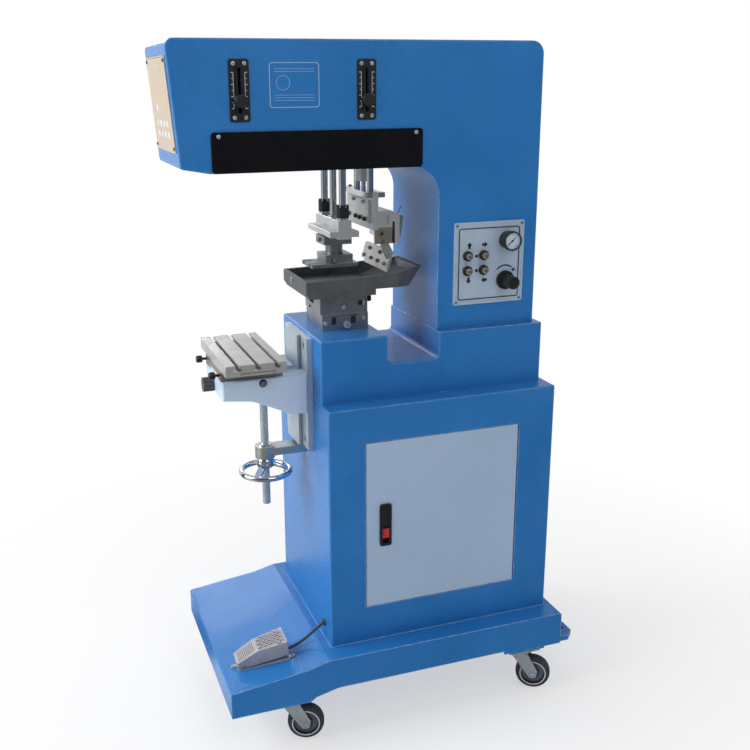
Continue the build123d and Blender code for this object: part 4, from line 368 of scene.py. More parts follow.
def grainedFinish(name, look, group, grain, spread, bumpDistance):
    # two tones in a grain, the arris in a lighter tone of its own for wear and a painted highlight, and roughness and
    # bump that follow the grain
    material, tree, shader, place = startMaterial(
        name, look["roughness"], look.get("metallic", 0.0), look.get("extras"))
    skin = placeGroup(tree, group, {"Vector": place, **grain})
    edge = placeGroup(tree, edgeGroup, {"Vector": place, "Radius": look["arris"], "Wear and highlight": look["wearAndHighlight"]})
    body = mixColours(tree, skin.outputs["Tone"], look["dark"], look["light"])
    tree.links.new(mixColours(tree, edge.outputs["Edge wear and highlight"], body, look["edge"]), shader.inputs["Base Color"])
    rough = rangeNode(tree, skin.outputs["Tone"], 0.0, 1.0, look["roughness"] - spread, look["roughness"] + spread)
    tree.links.new(rough, shader.inputs["Roughness"])
    bump = tree.nodes.new("ShaderNodeBump")
    for key, value in (("Strength", look["bump"]), ("Distance", bumpDistance),
                       ("Height", skin.outputs["Height"]), ("Normal", edge.outputs["Normal"])):
        feed(tree, bump.inputs[key], value)
    tree.links.new(bump.outputs["Normal"], shader.inputs["Normal"])
    return material


def sprayedFinish(name, look):
    # enamel, powder coat or moulded plastic: pebbled skin with blotches, rougher where it is pale
    grain = {"Pebbles per metre": look["pebbles"], "Blotches per metre": look["blotches"]}
    return grainedFinish(name, look, peelGroup, grain, look["spread"], look.get("bumpDistance", 0.0006))


def metalFinish(name, look):
    # ground, milled, cast or plated metal: tool marks and stains, smoother where it is pale
    grain = {"Marks per metre": look["marks"]}
    return grainedFinish(name, look, brushGroup, grain, -look["spread"], look.get("bumpDistance", 0.0003))


def plainInk(name, colour, roughness):
    # printed marks: a thin film with a faint grain in its tone
    material, tree, shader, place = startMaterial(name, roughness, 0.0)
    skin = placeGroup(tree, peelGroup, {"Vector": place, "Pebbles per metre": 900.0, "Blotches per metre": 60.0})
    paler = tuple(min(1.0, c * 1.12 + 0.01) for c in colour)
    tree.links.new(mixColours(tree, skin.outputs["Tone"], colour, paler), shader.inputs["Base Color"])
    return material


# The machine's finishes: colours are linear, sizes in metres

# the near-white edge tone of the blue enamel is a painted highlight along its arrises
bluePaint = sprayedFinish("blueEnamel", {
    "dark": (0.016, 0.185, 0.530), "light": (0.032, 0.235, 0.640), "edge": (0.58, 0.76, 0.96),
    "roughness": 0.20, "spread": 0.05, "pebbles": 330.0, "blotches": 5.0, "bump": 0.85, "bumpDistance": 0.0018,
    "arris": 0.0032, "wearAndHighlight": 1.0,
    "extras": {"Specular IOR Level": 0.38, "Coat Weight": 0.05, "Coat Roughness": 0.08}})
paleEnamel = sprayedFinish("paleEnamel", {
    "dark": (0.41, 0.56, 0.77), "light": (0.47, 0.62, 0.84), "edge": (0.72, 0.78, 0.86),
    "roughness": 0.40, "spread": 0.05, "pebbles": 520.0, "blotches": 4.0, "bump": 0.06,
    "arris": 0.0012, "wearAndHighlight": 0.4, "extras": {"Coat Weight": 0.2, "Coat Roughness": 0.2}})
bracketEnamel = sprayedFinish("bracketEnamel", {
    "dark": (0.55, 0.68, 0.85), "light": (0.63, 0.76, 0.91), "edge": (0.86, 0.90, 0.95),
    "roughness": 0.42, "spread": 0.06, "pebbles": 480.0, "blotches": 9.0, "bump": 0.08,
    "arris": 0.0015, "wearAndHighlight": 0.6, "extras": {"Coat Weight": 0.2, "Coat Roughness": 0.25}})
goldFilm = sprayedFinish("goldFilm", {
    "dark": (0.62, 0.50, 0.36), "light": (0.70, 0.57, 0.42), "edge": (0.80, 0.72, 0.60),
    "roughness": 0.30, "spread": 0.05, "pebbles": 1400.0, "blotches": 12.0, "bump": 0.03,
    "arris": 0.0006, "wearAndHighlight": 0.4, "metallic": 0.35})
blackGloss = sprayedFinish("blackAcrylic", {
    "dark": (0.004, 0.004, 0.006), "light": (0.009, 0.008, 0.009), "edge": (0.05, 0.05, 0.055),
    "roughness": 0.16, "spread": 0.03, "pebbles": 40.0, "blotches": 6.0, "bump": 0.02,
    "arris": 0.0006, "wearAndHighlight": 0.7, "extras": {"Specular IOR Level": 0.32, "Coat Weight": 0.1, "Coat Roughness": 0.06}})
blackPlastic = sprayedFinish("blackPlastic", {
    "dark": (0.010, 0.010, 0.011), "light": (0.019, 0.019, 0.021), "edge": (0.07, 0.07, 0.075),
    "roughness": 0.46, "spread": 0.08, "pebbles": 1500.0, "blotches": 30.0, "bump": 0.12,
    "arris": 0.0005, "wearAndHighlight": 0.6})
greyPlastic = sprayedFinish("greyPlastic", {
    "dark": (0.060, 0.066, 0.075), "light": (0.095, 0.104, 0.118), "edge": (0.22, 0.24, 0.26),
    "roughness": 0.5, "spread": 0.08, "pebbles": 1300.0, "blotches": 30.0, "bump": 0.12,
    "arris": 0.0005, "wearAndHighlight": 0.6})
redPlastic = sprayedFinish("redPlastic", {
    "dark": (0.52, 0.018, 0.016), "light": (0.66, 0.034, 0.026), "edge": (0.85, 0.18, 0.14),
    "roughness": 0.28, "spread": 0.05, "pebbles": 900.0, "blotches": 40.0, "bump": 0.05,
    "arris": 0.0004, "wearAndHighlight": 0.5})
tyreRubber = sprayedFinish("tyreRubber", {
    "dark": (0.030, 0.033, 0.036), "light": (0.064, 0.068, 0.075), "edge": (0.14, 0.145, 0.155),
    "roughness": 0.62, "spread": 0.12, "pebbles": 1100.0, "blotches": 45.0, "bump": 0.25,
    "arris": 0.0006, "wearAndHighlight": 0.6})
# the pale edge tone of the pedal is a painted highlight along its rims
pedalEnamel = sprayedFinish("hammeredGrey", {
    "dark": (0.43, 0.41, 0.44), "light": (0.56, 0.53, 0.56), "edge": (0.93, 0.90, 0.92),
    "roughness": 0.42, "spread": 0.08, "pebbles": 520.0, "blotches": 35.0, "bump": 0.35, "bumpDistance": 0.0009,
    "arris": 0.0013, "wearAndHighlight": 1.0, "metallic": 0.25})
castGrey = sprayedFinish("castAluminium", {
    "dark": (0.085, 0.094, 0.100), "light": (0.165, 0.172, 0.172), "edge": (0.46, 0.46, 0.40),
    "roughness": 0.58, "spread": 0.08, "pebbles": 420.0, "blotches": 26.0, "bump": 0.45, "bumpDistance": 0.0009,
    "arris": 0.0016, "wearAndHighlight": 0.9, "metallic": 0.35})
brushedPlate = metalFinish("brushedPlate", {
    "dark": (0.50, 0.63, 0.80), "light": (0.58, 0.71, 0.88), "edge": (0.90, 0.93, 0.97),
    "roughness": 0.38, "spread": 0.05, "metallic": 0.2, "marks": (900.0, 900.0, 18.0), "bump": 0.05,
    "arris": 0.0006, "wearAndHighlight": 0.8})
groundSteel = metalFinish("groundSteel", {
    "dark": (0.48, 0.49, 0.48), "light": (0.66, 0.67, 0.645), "edge": (0.90, 0.90, 0.86),
    "roughness": 0.36, "spread": 0.08, "metallic": 0.85, "marks": (40.0, 700.0, 700.0), "bump": 0.10,
    "arris": 0.0007, "wearAndHighlight": 0.8})
darkSteel = metalFinish("oiledSteel", {
    "dark": (0.24, 0.265, 0.29), "light": (0.38, 0.405, 0.43), "edge": (0.76, 0.78, 0.78),
    "roughness": 0.38, "spread": 0.08, "metallic": 0.85, "marks": (700.0, 36.0, 700.0), "bump": 0.12,
    "arris": 0.0007, "wearAndHighlight": 0.8})
tableSteel = metalFinish("millTable", {
    "dark": (0.44, 0.445, 0.435), "light": (0.58, 0.585, 0.565), "edge": (0.93, 0.94, 0.92),
    "roughness": 0.40, "spread": 0.06, "metallic": 0.4, "marks": (26.0, 800.0, 800.0), "bump": 0.10,
    "arris": 0.0008, "wearAndHighlight": 0.9})
# steel grey with a painted blue reflection of the body in its tint
guideSteelBlueReflection = metalFinish("guideSteelBlueReflection", {
    "dark": (0.48, 0.56, 0.63), "light": (0.62, 0.69, 0.75), "edge": (0.92, 0.93, 0.92),
    "roughness": 0.38, "spread": 0.08, "metallic": 0.45, "marks": (700.0, 700.0, 36.0), "bump": 0.10,
    "arris": 0.0009, "wearAndHighlight": 0.9})
# the brown tone of this steel is a painted warm reflection
warmReflectionSteel = metalFinish("steelWithPaintedWarmReflection", {
    "dark": (0.26, 0.235, 0.205), "light": (0.40, 0.365, 0.32), "edge": (0.66, 0.63, 0.58),
    "roughness": 0.42, "spread": 0.08, "metallic": 0.7, "marks": (40.0, 500.0, 500.0), "bump": 0.12,
    "arris": 0.0008, "wearAndHighlight": 0.7})
machinedAluminium = metalFinish("machinedAluminium", {
    "dark": (0.62, 0.64, 0.65), "light": (0.78, 0.79, 0.79), "edge": (0.95, 0.96, 0.95),
    "roughness": 0.36, "spread": 0.07, "metallic": 0.75, "marks": (30.0, 600.0, 600.0), "bump": 0.10,
    "arris": 0.0007, "wearAndHighlight": 0.8})
etchedSteel = metalFinish("etchedSteel", {
    "dark": (0.040, 0.044, 0.048), "light": (0.085, 0.090, 0.094), "edge": (0.42, 0.42, 0.40),
    "roughness": 0.30, "spread": 0.08, "metallic": 0.6, "marks": (500.0, 40.0, 500.0), "bump": 0.06,
    "arris": 0.0006, "wearAndHighlight": 0.8})
polishedChrome = metalFinish("polishedChrome", {
    "dark": (0.66, 0.68, 0.71), "light": (0.74, 0.76, 0.79), "edge": (0.9, 0.9, 0.92),
    "roughness": 0.12, "spread": 0.03, "metallic": 1.0, "marks": (60.0, 60.0, 60.0), "bump": 0.015,
    "arris": 0.0004, "wearAndHighlight": 0.3})
zincPlate = metalFinish("zincPlate", {
    "dark": (0.46, 0.53, 0.57), "light": (0.64, 0.71, 0.75), "edge": (0.88, 0.91, 0.93),
    "roughness": 0.30, "spread": 0.08, "metallic": 0.5, "marks": (180.0, 180.0, 180.0), "bump": 0.06,
    "arris": 0.0006, "wearAndHighlight": 0.6})
nickelPlate = metalFinish("nickelPlate", {
    "dark": (0.42, 0.41, 0.34), "light": (0.64, 0.61, 0.52), "edge": (0.92, 0.91, 0.86),
    "roughness": 0.24, "spread": 0.06, "metallic": 0.7, "marks": (300.0, 300.0, 300.0), "bump": 0.05,
    "arris": 0.0004, "wearAndHighlight": 0.6})
brassPlate = metalFinish("turnedBrass", {
    "dark": (0.42, 0.27, 0.09), "light": (0.60, 0.40, 0.15), "edge": (0.85, 0.66, 0.34),
    "roughness": 0.30, "spread": 0.06, "metallic": 1.0, "marks": (300.0, 300.0, 300.0), "bump": 0.05,
    "arris": 0.0004, "wearAndHighlight": 0.6})
dialWhite = sprayedFinish("dialWhite", {
    "dark": (0.66, 0.70, 0.78), "light": (0.74, 0.78, 0.85), "edge": (0.8, 0.82, 0.86),
    "roughness": 0.35, "spread": 0.03, "pebbles": 900.0, "blotches": 40.0, "bump": 0.02,
    "arris": 0.0002, "wearAndHighlight": 0.1})
wheelGrey = sprayedFinish("wheelGrey", {
    "dark": (0.13, 0.17, 0.20), "light": (0.23, 0.28, 0.32), "edge": (0.45, 0.50, 0.54),
    "roughness": 0.36, "spread": 0.06, "pebbles": 900.0, "blotches": 40.0, "bump": 0.08,
    "arris": 0.0004, "wearAndHighlight": 0.5, "metallic": 0.3})
whiteInk = plainInk("whiteInk", (0.66, 0.70, 0.76), 0.5)
paleBlueInk = plainInk("paleBlueInk", (0.36, 0.52, 0.74), 0.5)
blackInk = plainInk("blackInk", (0.012, 0.014, 0.018), 0.45)
brownInk = plainInk("brownInk", (0.24, 0.12, 0.07), 0.4)
# thin dark and grey marks as painted shade in slots, grooves and a hole
grooveShade = plainInk("grooveShade", (0.030, 0.030, 0.034), 0.6)
softGrooveShade = plainInk("softGrooveShade", (0.17, 0.16, 0.17), 0.6)


def makeGlass():
    material, tree, shader, place = startMaterial("gaugeGlass", 0.05, 0.0, {"Transmission Weight": 1.0, "IOR": 1.45})
    smear = noiseNode(tree, place, 90.0, 3.0, 0.6)
    tree.links.new(rangeNode(tree, smear, 0.4, 0.7, 0.03, 0.09), shader.inputs["Roughness"])
    shader.inputs["Base Color"].default_value = (0.96, 0.98, 1.0, 1.0)
    return material


gaugeGlass = makeGlass()
print("finishes made:", len(bpy.data.materials))

# Which CAD pieces carry each finish
finishNodes = (
    (bluePaint, "base_frame cabinet_shell mid_housing head_housing"),
    (paleEnamel, "door"),
    (bracketEnamel, "table_bracket"),
    (goldFilm, "head_front_panel"),
    (blackGloss, "sign_plate"),
    (blackPlastic, "slot_plates stroke_knob_front stroke_knob_rear gauge_case gauge_needle regulator_knob latch_case "
                   "latch_lever clamp_knob_left clamp_knob_right stage_knob"),
    (greyPlastic, "cross_feed_knob"),
    (redPlastic, "latch_button"),
    (tyreRubber, "cable_grommet caster_wheel_1 caster_wheel_2 caster_wheel_3 caster_wheel_4"),
    (pedalEnamel, "pedal_base pedal_treadle"),
    (castGrey, "ink_tray"),
    (brushedPlate, "control_panel"),
    (groundSteel, "lift_lug blade_holder"),
    (darkSteel, "stage_base stage_slide pad_mount"),
    (tableSteel, "t_slot_table"),
    (guideSteelBlueReflection, "guide_plate"),
    (warmReflectionSteel, "cross_slide"),
    (machinedAluminium, "carriage pad_beam squeegee_bracket valve_manifold"),
    (etchedSteel, "cliche_plate"),
    (polishedChrome, "handwheel carriage_rails pad_rods squeegee_rods"),
    (zincPlate, "door_hinges lift_screw caster_plates caster_fork_1 caster_fork_2 caster_fork_3 caster_fork_4"),
    (nickelPlate, "valve_bodies flow_knob_1 flow_knob_2 flow_knob_3 flow_knob_4"),
)
for material, nodeNames in finishNodes:
    for nodeName in nodeNames.split():
        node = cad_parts[nodeName]
        if not node.material_slots:
            node.data.materials.append(material)
        for slot in node.material_slots:
            slot.material = material

footCable.data.materials.append(tyreRubber)
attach(footCable, "frame")
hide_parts("pedal_cable")
print("CAD pieces finished")


# Pale floor, soft lamps and a white surround. Ways run from -1 to 1 toward the control side or upward,
# and floorNear gives the distances over which the floor's own shade fades into the glow.

studio = {
    "floorRadius": 9.0, "floorColour": (0.93, 0.94, 0.95, 1.0), "floorRoughness": 0.7, "floorNear": (0.4, 1.6),
    "floorNearGlow": 0.55, "floorSide": (-0.1, 0.5), "floorGloss": 0.76, "sideFloorGloss": 0.20,
    "surroundWays": (-0.1, 0.6), "surroundStrength": 0.66, "sideStrength": 0.29,
    "skyWays": (0.2, 0.9), "skyShare": 0.70, "glossWays": (-0.15, 0.6), "glossStrength": 0.74, "sideGloss": 0.13,
    "bandWays": (-0.78, -0.64, -0.42, -0.30), "bandGloss": 0.12,
    "tintWays": (-0.1, 0.5), "sideTint": (0.66, 0.84, 1.0),
}
lamps = {
    "keyLamp": {"place": (-0.5, -4.0, 3.2), "aim": (0.0, 0.0, 0.8), "size": (3.0, 2.6), "power": 168.0},
    "sideLamp": {"place": (2.5, 0.6, 3.0), "aim": (0.1, -0.1, 1.45), "size": (1.8, 1.8), "power": 19.0},
    "backLamp": {"place": (-2.72, -0.15, 1.72), "aim": (-0.15, -0.27, 0.18), "size": (0.42, 0.32), "power": 7.5},
}


def addLamp(name, look):
    data = bpy.data.lights.new(name, "AREA")
    data.shape = "RECTANGLE"
    data.size, data.size_y = look["size"]
    data.energy = look["power"]
    lamp = bpy.data.objects.new(name, data)
    lamp.location = look["place"]
    lamp.rotation_euler = (Vector(look["aim"]) - Vector(look["place"])).to_track_quat("-Z", "Y").to_euler()
    lamp.visible_camera = False
    scene.collection.objects.link(lamp)


def darkBand(tree, way):
    # one dark strip in what polished metal sees, on the side away from the controls
    start, dark, end, clear = studio["bandWays"]
    return mathNode(tree, "MAXIMUM", rangeNode(tree, way, start, dark, 1.0, studio["bandGloss"]),
                    rangeNode(tree, way, end, clear, studio["bandGloss"], 1.0))


def seenStraight(tree, paths):
    # what the picture shows as its ground, also through the gauge's glass
    return mathNode(tree, "ADD", paths.outputs["Is Camera Ray"], paths.outputs["Is Transmission Ray"], True)


def buildFloor():
    bm = bmesh.new()
    bmesh.ops.create_circle(bm, cap_ends=True, segments=96, radius=studio["floorRadius"])
    floor = meshFrom(bm, "studioFloor")
    material, tree, shader, place = startMaterial("paleFloor", studio["floorRoughness"], 0.0)
    shader.inputs["Base Color"].default_value = studio["floorColour"]
    paths = tree.nodes.new("ShaderNodeLightPath")
    length = tree.nodes.new("ShaderNodeVectorMath")
    length.operation = "LENGTH"
    tree.links.new(place, length.inputs[0])
    far = rangeNode(tree, length.outputs["Value"], *studio["floorNear"], studio["floorNearGlow"], 1.0)
    seen = seenStraight(tree, paths)
    # what shines on the control side sees a dim floor, as the photo's metal does
    parts = tree.nodes.new("ShaderNodeSeparateXYZ")
    tree.links.new(place, parts.inputs[0])
    way = mathNode(tree, "DIVIDE", parts.outputs["X"], length.outputs["Value"])
    near = rangeNode(tree, way, *studio["floorSide"], studio["floorGloss"], studio["sideFloorGloss"])
    dim = mathNode(tree, "MULTIPLY", near, darkBand(tree, way))
    glow = tree.nodes.new("ShaderNodeEmission")
    tree.links.new(mathNode(tree, "MAXIMUM", seen, dim), glow.inputs["Strength"])
    mix = tree.nodes.new("ShaderNodeMixShader")
    share = mathNode(tree, "MAXIMUM", mathNode(tree, "MULTIPLY", seen, far), paths.outputs["Is Glossy Ray"])
    tree.links.new(share, mix.inputs["Fac"])
    tree.links.new(shader.outputs["BSDF"], mix.inputs[1])
    tree.links.new(glow.outputs["Emission"], mix.inputs[2])
    tree.links.new(mix.outputs["Shader"], tree.nodes["Material Output"].inputs["Surface"])
    floor.data.materials.append(material)


def buildSurround():
    world = bpy.data.worlds.new("softSurround")
    scene.world = world
    world.use_nodes = True
    tree = world.node_tree
    back = tree.nodes["Background"]
    paths = tree.nodes.new("ShaderNodeLightPath")
    glossyRay = paths.outputs["Is Glossy Ray"]
    parts = tree.nodes.new("ShaderNodeSeparateXYZ")
    tree.links.new(tree.nodes.new("ShaderNodeTexCoord").outputs["Generated"], parts.inputs[0])
    side, height = parts.outputs["X"], parts.outputs["Z"]
    # polished metal sees a darker band beside the pale one, as it does in a room
    shine = rangeNode(tree, side, *studio["glossWays"], studio["glossStrength"], studio["sideGloss"])
    glossy = mathNode(tree, "MULTIPLY", glossyRay, mathNode(tree, "MULTIPLY", shine, darkBand(tree, side)))
    # all other surfaces get a weaker light from the control side and from above
    level = rangeNode(tree, side, *studio["surroundWays"], studio["surroundStrength"], studio["sideStrength"])
    plain = mathNode(tree, "MULTIPLY", mathNode(tree, "SUBTRACT", 1.0, glossyRay), level)
    plain = mathNode(tree, "MULTIPLY", plain, rangeNode(tree, height, *studio["skyWays"], 1.0, studio["skyShare"]))
    soft = mathNode(tree, "ADD", glossy, plain)
    tree.links.new(mathNode(tree, "MAXIMUM", soft, seenStraight(tree, paths)), back.inputs["Strength"])
    cool = mathNode(tree, "MULTIPLY", glossyRay, rangeNode(tree, side, *studio["tintWays"], 0.0, 1.0))
    tree.links.new(mixColours(tree, cool, (1.0, 1.0, 1.0), studio["sideTint"]), back.inputs["Color"])


buildFloor()
buildSurround()
for name, look in lamps.items():
    addLamp(name, look)
scene.view_settings.view_transform = "Standard"
print("studio built")


# Screws: one Geometry Nodes tree sets a head on each point, turned to the point's own direction

def buildScrewTree():
    tree = bpy.data.node_groups.new("screwsOnPoints", "GeometryNodeTree")
    for label, kind in (("Geometry", "Geometry"), ("Head", "Object"), ("Head size", "Float"), ("Seed", "Int")):
        tree.interface.new_socket(label, in_out="INPUT", socket_type="NodeSocket" + kind)
    tree.interface.new_socket("Geometry", in_out="OUTPUT", socket_type="NodeSocketGeometry")
    add, link = tree.nodes.new, tree.links.new
    given, out = add("NodeGroupInput"), add("NodeGroupOutput")
    aim = add("GeometryNodeInputNamedAttribute")
    aim.data_type = "FLOAT_VECTOR"
    aim.inputs["Name"].default_value = "aim"
    align = add("FunctionNodeAlignRotationToVector")
    align.axis = "Z"
    link(aim.outputs["Attribute"], align.inputs["Vector"])
    # each head is turned at random about its own axis, by up to a full turn
    turn = add("FunctionNodeRandomValue")
    turn.data_type = "FLOAT"
    lowest, highest = [s for s in turn.inputs if s.type == "VALUE" and s.enabled][:2]
    lowest.default_value, highest.default_value = 0.0, 6.283
    link(given.outputs["Seed"], turn.inputs["Seed"])
    spin = add("FunctionNodeAxisAngleToRotation")
    spin.inputs["Axis"].default_value = (0.0, 0.0, 1.0)
    link([s for s in turn.outputs if s.enabled][0], spin.inputs["Angle"])
    rotate = add("FunctionNodeRotateRotation")
    rotate.rotation_space = "LOCAL"
    link(align.outputs["Rotation"], rotate.inputs["Rotation"])
    link(spin.outputs["Rotation"], rotate.inputs["Rotate By"])
    head = add("GeometryNodeObjectInfo")
    link(given.outputs["Head"], head.inputs["Object"])
    size = add("ShaderNodeCombineXYZ")
    for axis in range(3):
        link(given.outputs["Head size"], size.inputs[axis])
    place = add("GeometryNodeInstanceOnPoints")
    for key, socket in (("Points", given.outputs["Geometry"]), ("Instance", head.outputs["Geometry"]),
                        ("Rotation", rotate.outputs["Rotation"]), ("Scale", size.outputs["Vector"])):
        link(socket, place.inputs[key])
    real = add("GeometryNodeRealizeInstances")
    link(place.outputs["Instances"], real.inputs["Geometry"])
    link(real.outputs["Geometry"], out.inputs["Geometry"])
    return tree


screwTree = buildScrewTree()


def recessRadius(kind, turn, size):
    if kind == "hex":
        local = (turn % (math.pi / 3)) - math.pi / 6
        return size / math.cos(local)
    # a cross: each arm is narrow and reaches as far as the size says
    local = abs(((turn + math.pi / 4) % (math.pi / 2)) - math.pi / 4)
    armShare = 0.26
    if math.tan(local) <= armShare:
        return size / math.cos(local)
    return size * armShare / math.sin(local)


def screwHead(name, look):
    # a head of unit radius: its rims from the foot up, and a hexagon or cross recess
    bm = bmesh.new()
    count = 48
    turns = [2 * math.pi * k / count for k in range(count)]
    rows = [([radius] * count, level) for radius, level in look["rims"]]
    mouth = [recessRadius(look["kind"], turn, look["recess"]) for turn in turns]
    rows += [(mouth, look["height"]), (mouth, look["height"] - look["depth"])]
    loops = [[bm.verts.new((radius * math.cos(turn), radius * math.sin(turn), level))
              for radius, turn in zip(radii, turns)] for radii, level in rows]
    for low, high in zip(loops, loops[1:]):
        joinLoops(bm, low, high)
    bm.faces.new(loops[-1])
    bm.faces.new(list(reversed(loops[0])))
    head = meshFrom(bm, name, 40)
    scene.collection.objects.unlink(head)
    return head


socketHead = screwHead("socketHead", {
    "kind": "hex", "height": 1.0, "rims": ((1.0, -0.25), (1.0, 0.86), (0.86, 1.0)), "recess": 0.46, "depth": 0.62})
crossHead = screwHead("crossHead", {
    "kind": "cross", "height": 0.55, "rims": ((1.0, -0.25), (1.0, 0.1925), (0.93, 0.374), (0.74, 0.5115)),
    "recess": 0.52, "depth": 0.34})
aims = {"+x": (1, 0, 0), "-x": (-1, 0, 0), "-y": (0, -1, 0)}


def setScrews(name, head, size, material, body, places, seed):
    # places are (x, y, z, aim), with aim as a direction or its short name
    mesh = bpy.data.meshes.new(name + "Points")
    mesh.from_pydata([place[:3] for place in places], [], [])
    attribute = mesh.attributes.new("aim", "FLOAT_VECTOR", "POINT")
    for slot, place in zip(attribute.data, places):
        slot.vector = aims.get(place[3], place[3])
    piece = bpy.data.objects.new(name + "Points", mesh)
    scene.collection.objects.link(piece)
    modifier = piece.modifiers.new("screws", "NODES")
    modifier.node_group = screwTree
    named = {socket.name: socket.identifier for socket in screwTree.interface.items_tree if socket.in_out == "INPUT"}
    for label, value in (("Head", head), ("Head size", size), ("Seed", seed)):
        modifier[named[label]] = value
    finishPiece(evaluated(piece, name), body, material)


# Places are taken from the cabinet's front and the base's top, in millimetres, as in part.py

cabinetCorner = {"front": -0.156771, "baseTop": 0.198}


def spot(x, y, z):
    return (x / 1000, cabinetCorner["front"] + y / 1000, cabinetCorner["baseTop"] + z / 1000)


def screwSpots(x, spots, aim):
    return [(*spot(x, y, z), aim) for y, z in spots]


def boxPiece(name, body, material, low, high, arris=0.0004):
    bm = bmesh.new()
    bmesh.ops.create_cube(bm, size=1.0)
    low, high = spot(*low), spot(*high)
    for vert in bm.verts:
        vert.co = [low[k] if vert.co[k] < 0 else high[k] for k in range(3)]
    bmesh.ops.bevel(bm, geom=list(bm.edges), offset=arris, segments=2, affect="EDGES")
    finishPiece(meshFrom(bm, name, 35), body, material)


# Ink on faces that look to the control side

def sideInk(bm, face, y, z, outer, inner=(), thick=inkThick):
    across, up = (0, 1, 0), (0, 0, 1)
    centre = spot(face, y, z)
    inkInto(bm, onPlane(outer, centre, across, up), onPlane(inner, centre, across, up), (1, 0, 0), thick)


def inkBar(bm, face, y, z, wide, high):
    sideInk(bm, face, y, z, rectPoints(wide, high))


# Sign on the head's side and the two stroke plates

headSide = {
    "face": 129.8, "signThick": 3.0, "signScrews": ((-194.0, 1122.6), (217.8, 1122.6)), "signScrewRadius": 0.0042,
    "plateThick": 2.0, "plateY": (-149.6, 109.9), "plateWidth": 40.0, "plateBottom": 1149.0, "plateTop": 1265.7,
    "screwInset": (9.2, 8.2), "screwRadius": 0.0042,
    "scaleTop": 24.6, "scaleStep": 11.07, "scaleTicks": 7, "scaleLine": (8.6, 31.4), "tickLength": 4.6,
    "shortTick": 0.72, "tickWidth": 1.3, "lineWidth": 0.9,
    # dark plates as painted shade behind the stroke plates' slots
    "strokeSlotShade": {"x": (116.6, 117.8), "half": 27.0, "z": (1140.0, 1276.0)},
}


def dressHeadSide():
    look = headSide
    setScrews("signScrews", crossHead, look["signScrewRadius"], zincPlate, "frame",
              screwSpots(look["face"] + look["signThick"], look["signScrews"], "+x"), seed=5)
    face = look["face"] + look["plateThick"]
    insetY, insetZ = look["screwInset"]
    screws = []
    bm = bmesh.new()
    for centre in look["plateY"]:
        front = centre - look["plateWidth"] / 2
        screws += [(y, z) for y in (front + insetY, front + look["plateWidth"] - insetY)
                   for z in (look["plateBottom"] + insetZ, look["plateTop"] - insetZ)]
        top = look["plateTop"] - look["scaleTop"]
        bottom = top - look["scaleStep"] * (look["scaleTicks"] - 1)
        for line, outward in zip(look["scaleLine"], (-1, 1)):
            y = front + line
            inkBar(bm, face, y, (top + bottom) / 2, look["lineWidth"], top - bottom + look["tickWidth"])
            for tick in range(look["scaleTicks"]):
                long = look["tickLength"] * (1.0 if tick % 2 == 0 else look["shortTick"])
                inkBar(bm, face, y + outward * long / 2, top - tick * look["scaleStep"], long, look["tickWidth"])
    setScrews("strokePlateScrews", crossHead, look["screwRadius"], zincPlate, "frame",
              screwSpots(face, screws, "+x"), seed=8)
    finishPiece(meshFrom(bm, "strokeScales"), "frame", whiteInk)
    # dark plates behind the slots of the stroke plates, as painted shade of the head's inside
    (x0, x1), (z0, z1), half = look["strokeSlotShade"]["x"], look["strokeSlotShade"]["z"], look["strokeSlotShade"]["half"]
    for label, centre in zip(("linerFront", "linerRear"), look["plateY"]):
        boxPiece(label, "frame", blackPlastic, (x0, centre - half, z0), (x1, centre + half, z1))


dressHeadSide()

# The printed frame on the head's side, with plain rules and no words

printedFrame = {"low": (-89.7, 1174.6), "high": (11.3, 1259.8), "corner": 6.0, "line": 1.5, "face": 129.8,
                "rules": (0.86, 0.80, 0.28, 0.22, 0.16), "ruleSize": (0.8, 0.7),
                "ringAt": (0.27, 0.55), "ringRadius": 14.0, "ringLine": 0.8}


def borderInk(bm, look, face):
    # a rounded frame line between the two corners that the dictionary gives
    (y0, z0), (y1, z1) = look["low"], look["high"]
    wide, high, line, corner = (y1 - y0) / 2, (z1 - z0) / 2, look["line"], look["corner"]
    sideInk(bm, face, (y0 + y1) / 2, (z0 + z1) / 2, outlinePoints(wide, high, corner),
            outlinePoints(wide - line, high - line, corner - line))


def ringInk(bm, face, y, z, outside, inside, count=40):
    sideInk(bm, face, y, z, circlePoints(outside, count), circlePoints(inside, count) if inside else ())


def printFrame():
    bm = bmesh.new()
    look = printedFrame
    (y0, z0), (y1, z1), face = look["low"], look["high"], look["face"]
    borderInk(bm, look, face)
    ruleShare, ruleHigh = look["ruleSize"]
    for share in look["rules"]:
        inkBar(bm, face, (y0 + y1) / 2, z0 + (z1 - z0) * share, (y1 - y0) * ruleShare, ruleHigh)
    shareY, shareZ = look["ringAt"]
    ringInk(bm, face, y0 + (y1 - y0) * shareY, z0 + (z1 - z0) * shareZ,
            look["ringRadius"], look["ringRadius"] - look["ringLine"])
    finishPiece(meshFrom(bm, "printedFrame"), "frame", paleBlueInk)


printFrame()
print("head side dressed")

# Front panel of the head: corner screws, a top line and blank membrane keys

frontPanel = {"foot": (0.0, -270.3, 1062.5), "top": (0.0, -288.8, 1303.5), "thick": 2.0, "low": 1091.0,
              "high": 1273.0, "screwX": 103.0, "screwInset": 9.0, "screwRadius": 0.0036,
              "keyRows": ((1175.0, (-38.0,)), (1145.0, (-54.0, -15.0, 24.0, 63.0)),
                          (1124.0, (-54.0, -15.0, 24.0, 63.0))),
              "keySize": (20.0, 12.0), "keyCorner": 2.0, "keyLift": 0.0004, "lineInset": 3.0,
              "lineSize": (212.0, 1.4)}


def panelSpot(x, z):
    # a place on the leaning panel's face, with its outward and upward directions
    foot, top = Vector(frontPanel["foot"]), Vector(frontPanel["top"])
    out = Vector((0, -(top.z - foot.z), top.y - foot.y)).normalized()
    place = foot.lerp(top, (z - foot.z) / (top.z - foot.z)) + out * frontPanel["thick"]
    return spot(x, place.y, place.z), out, (top - foot).normalized()


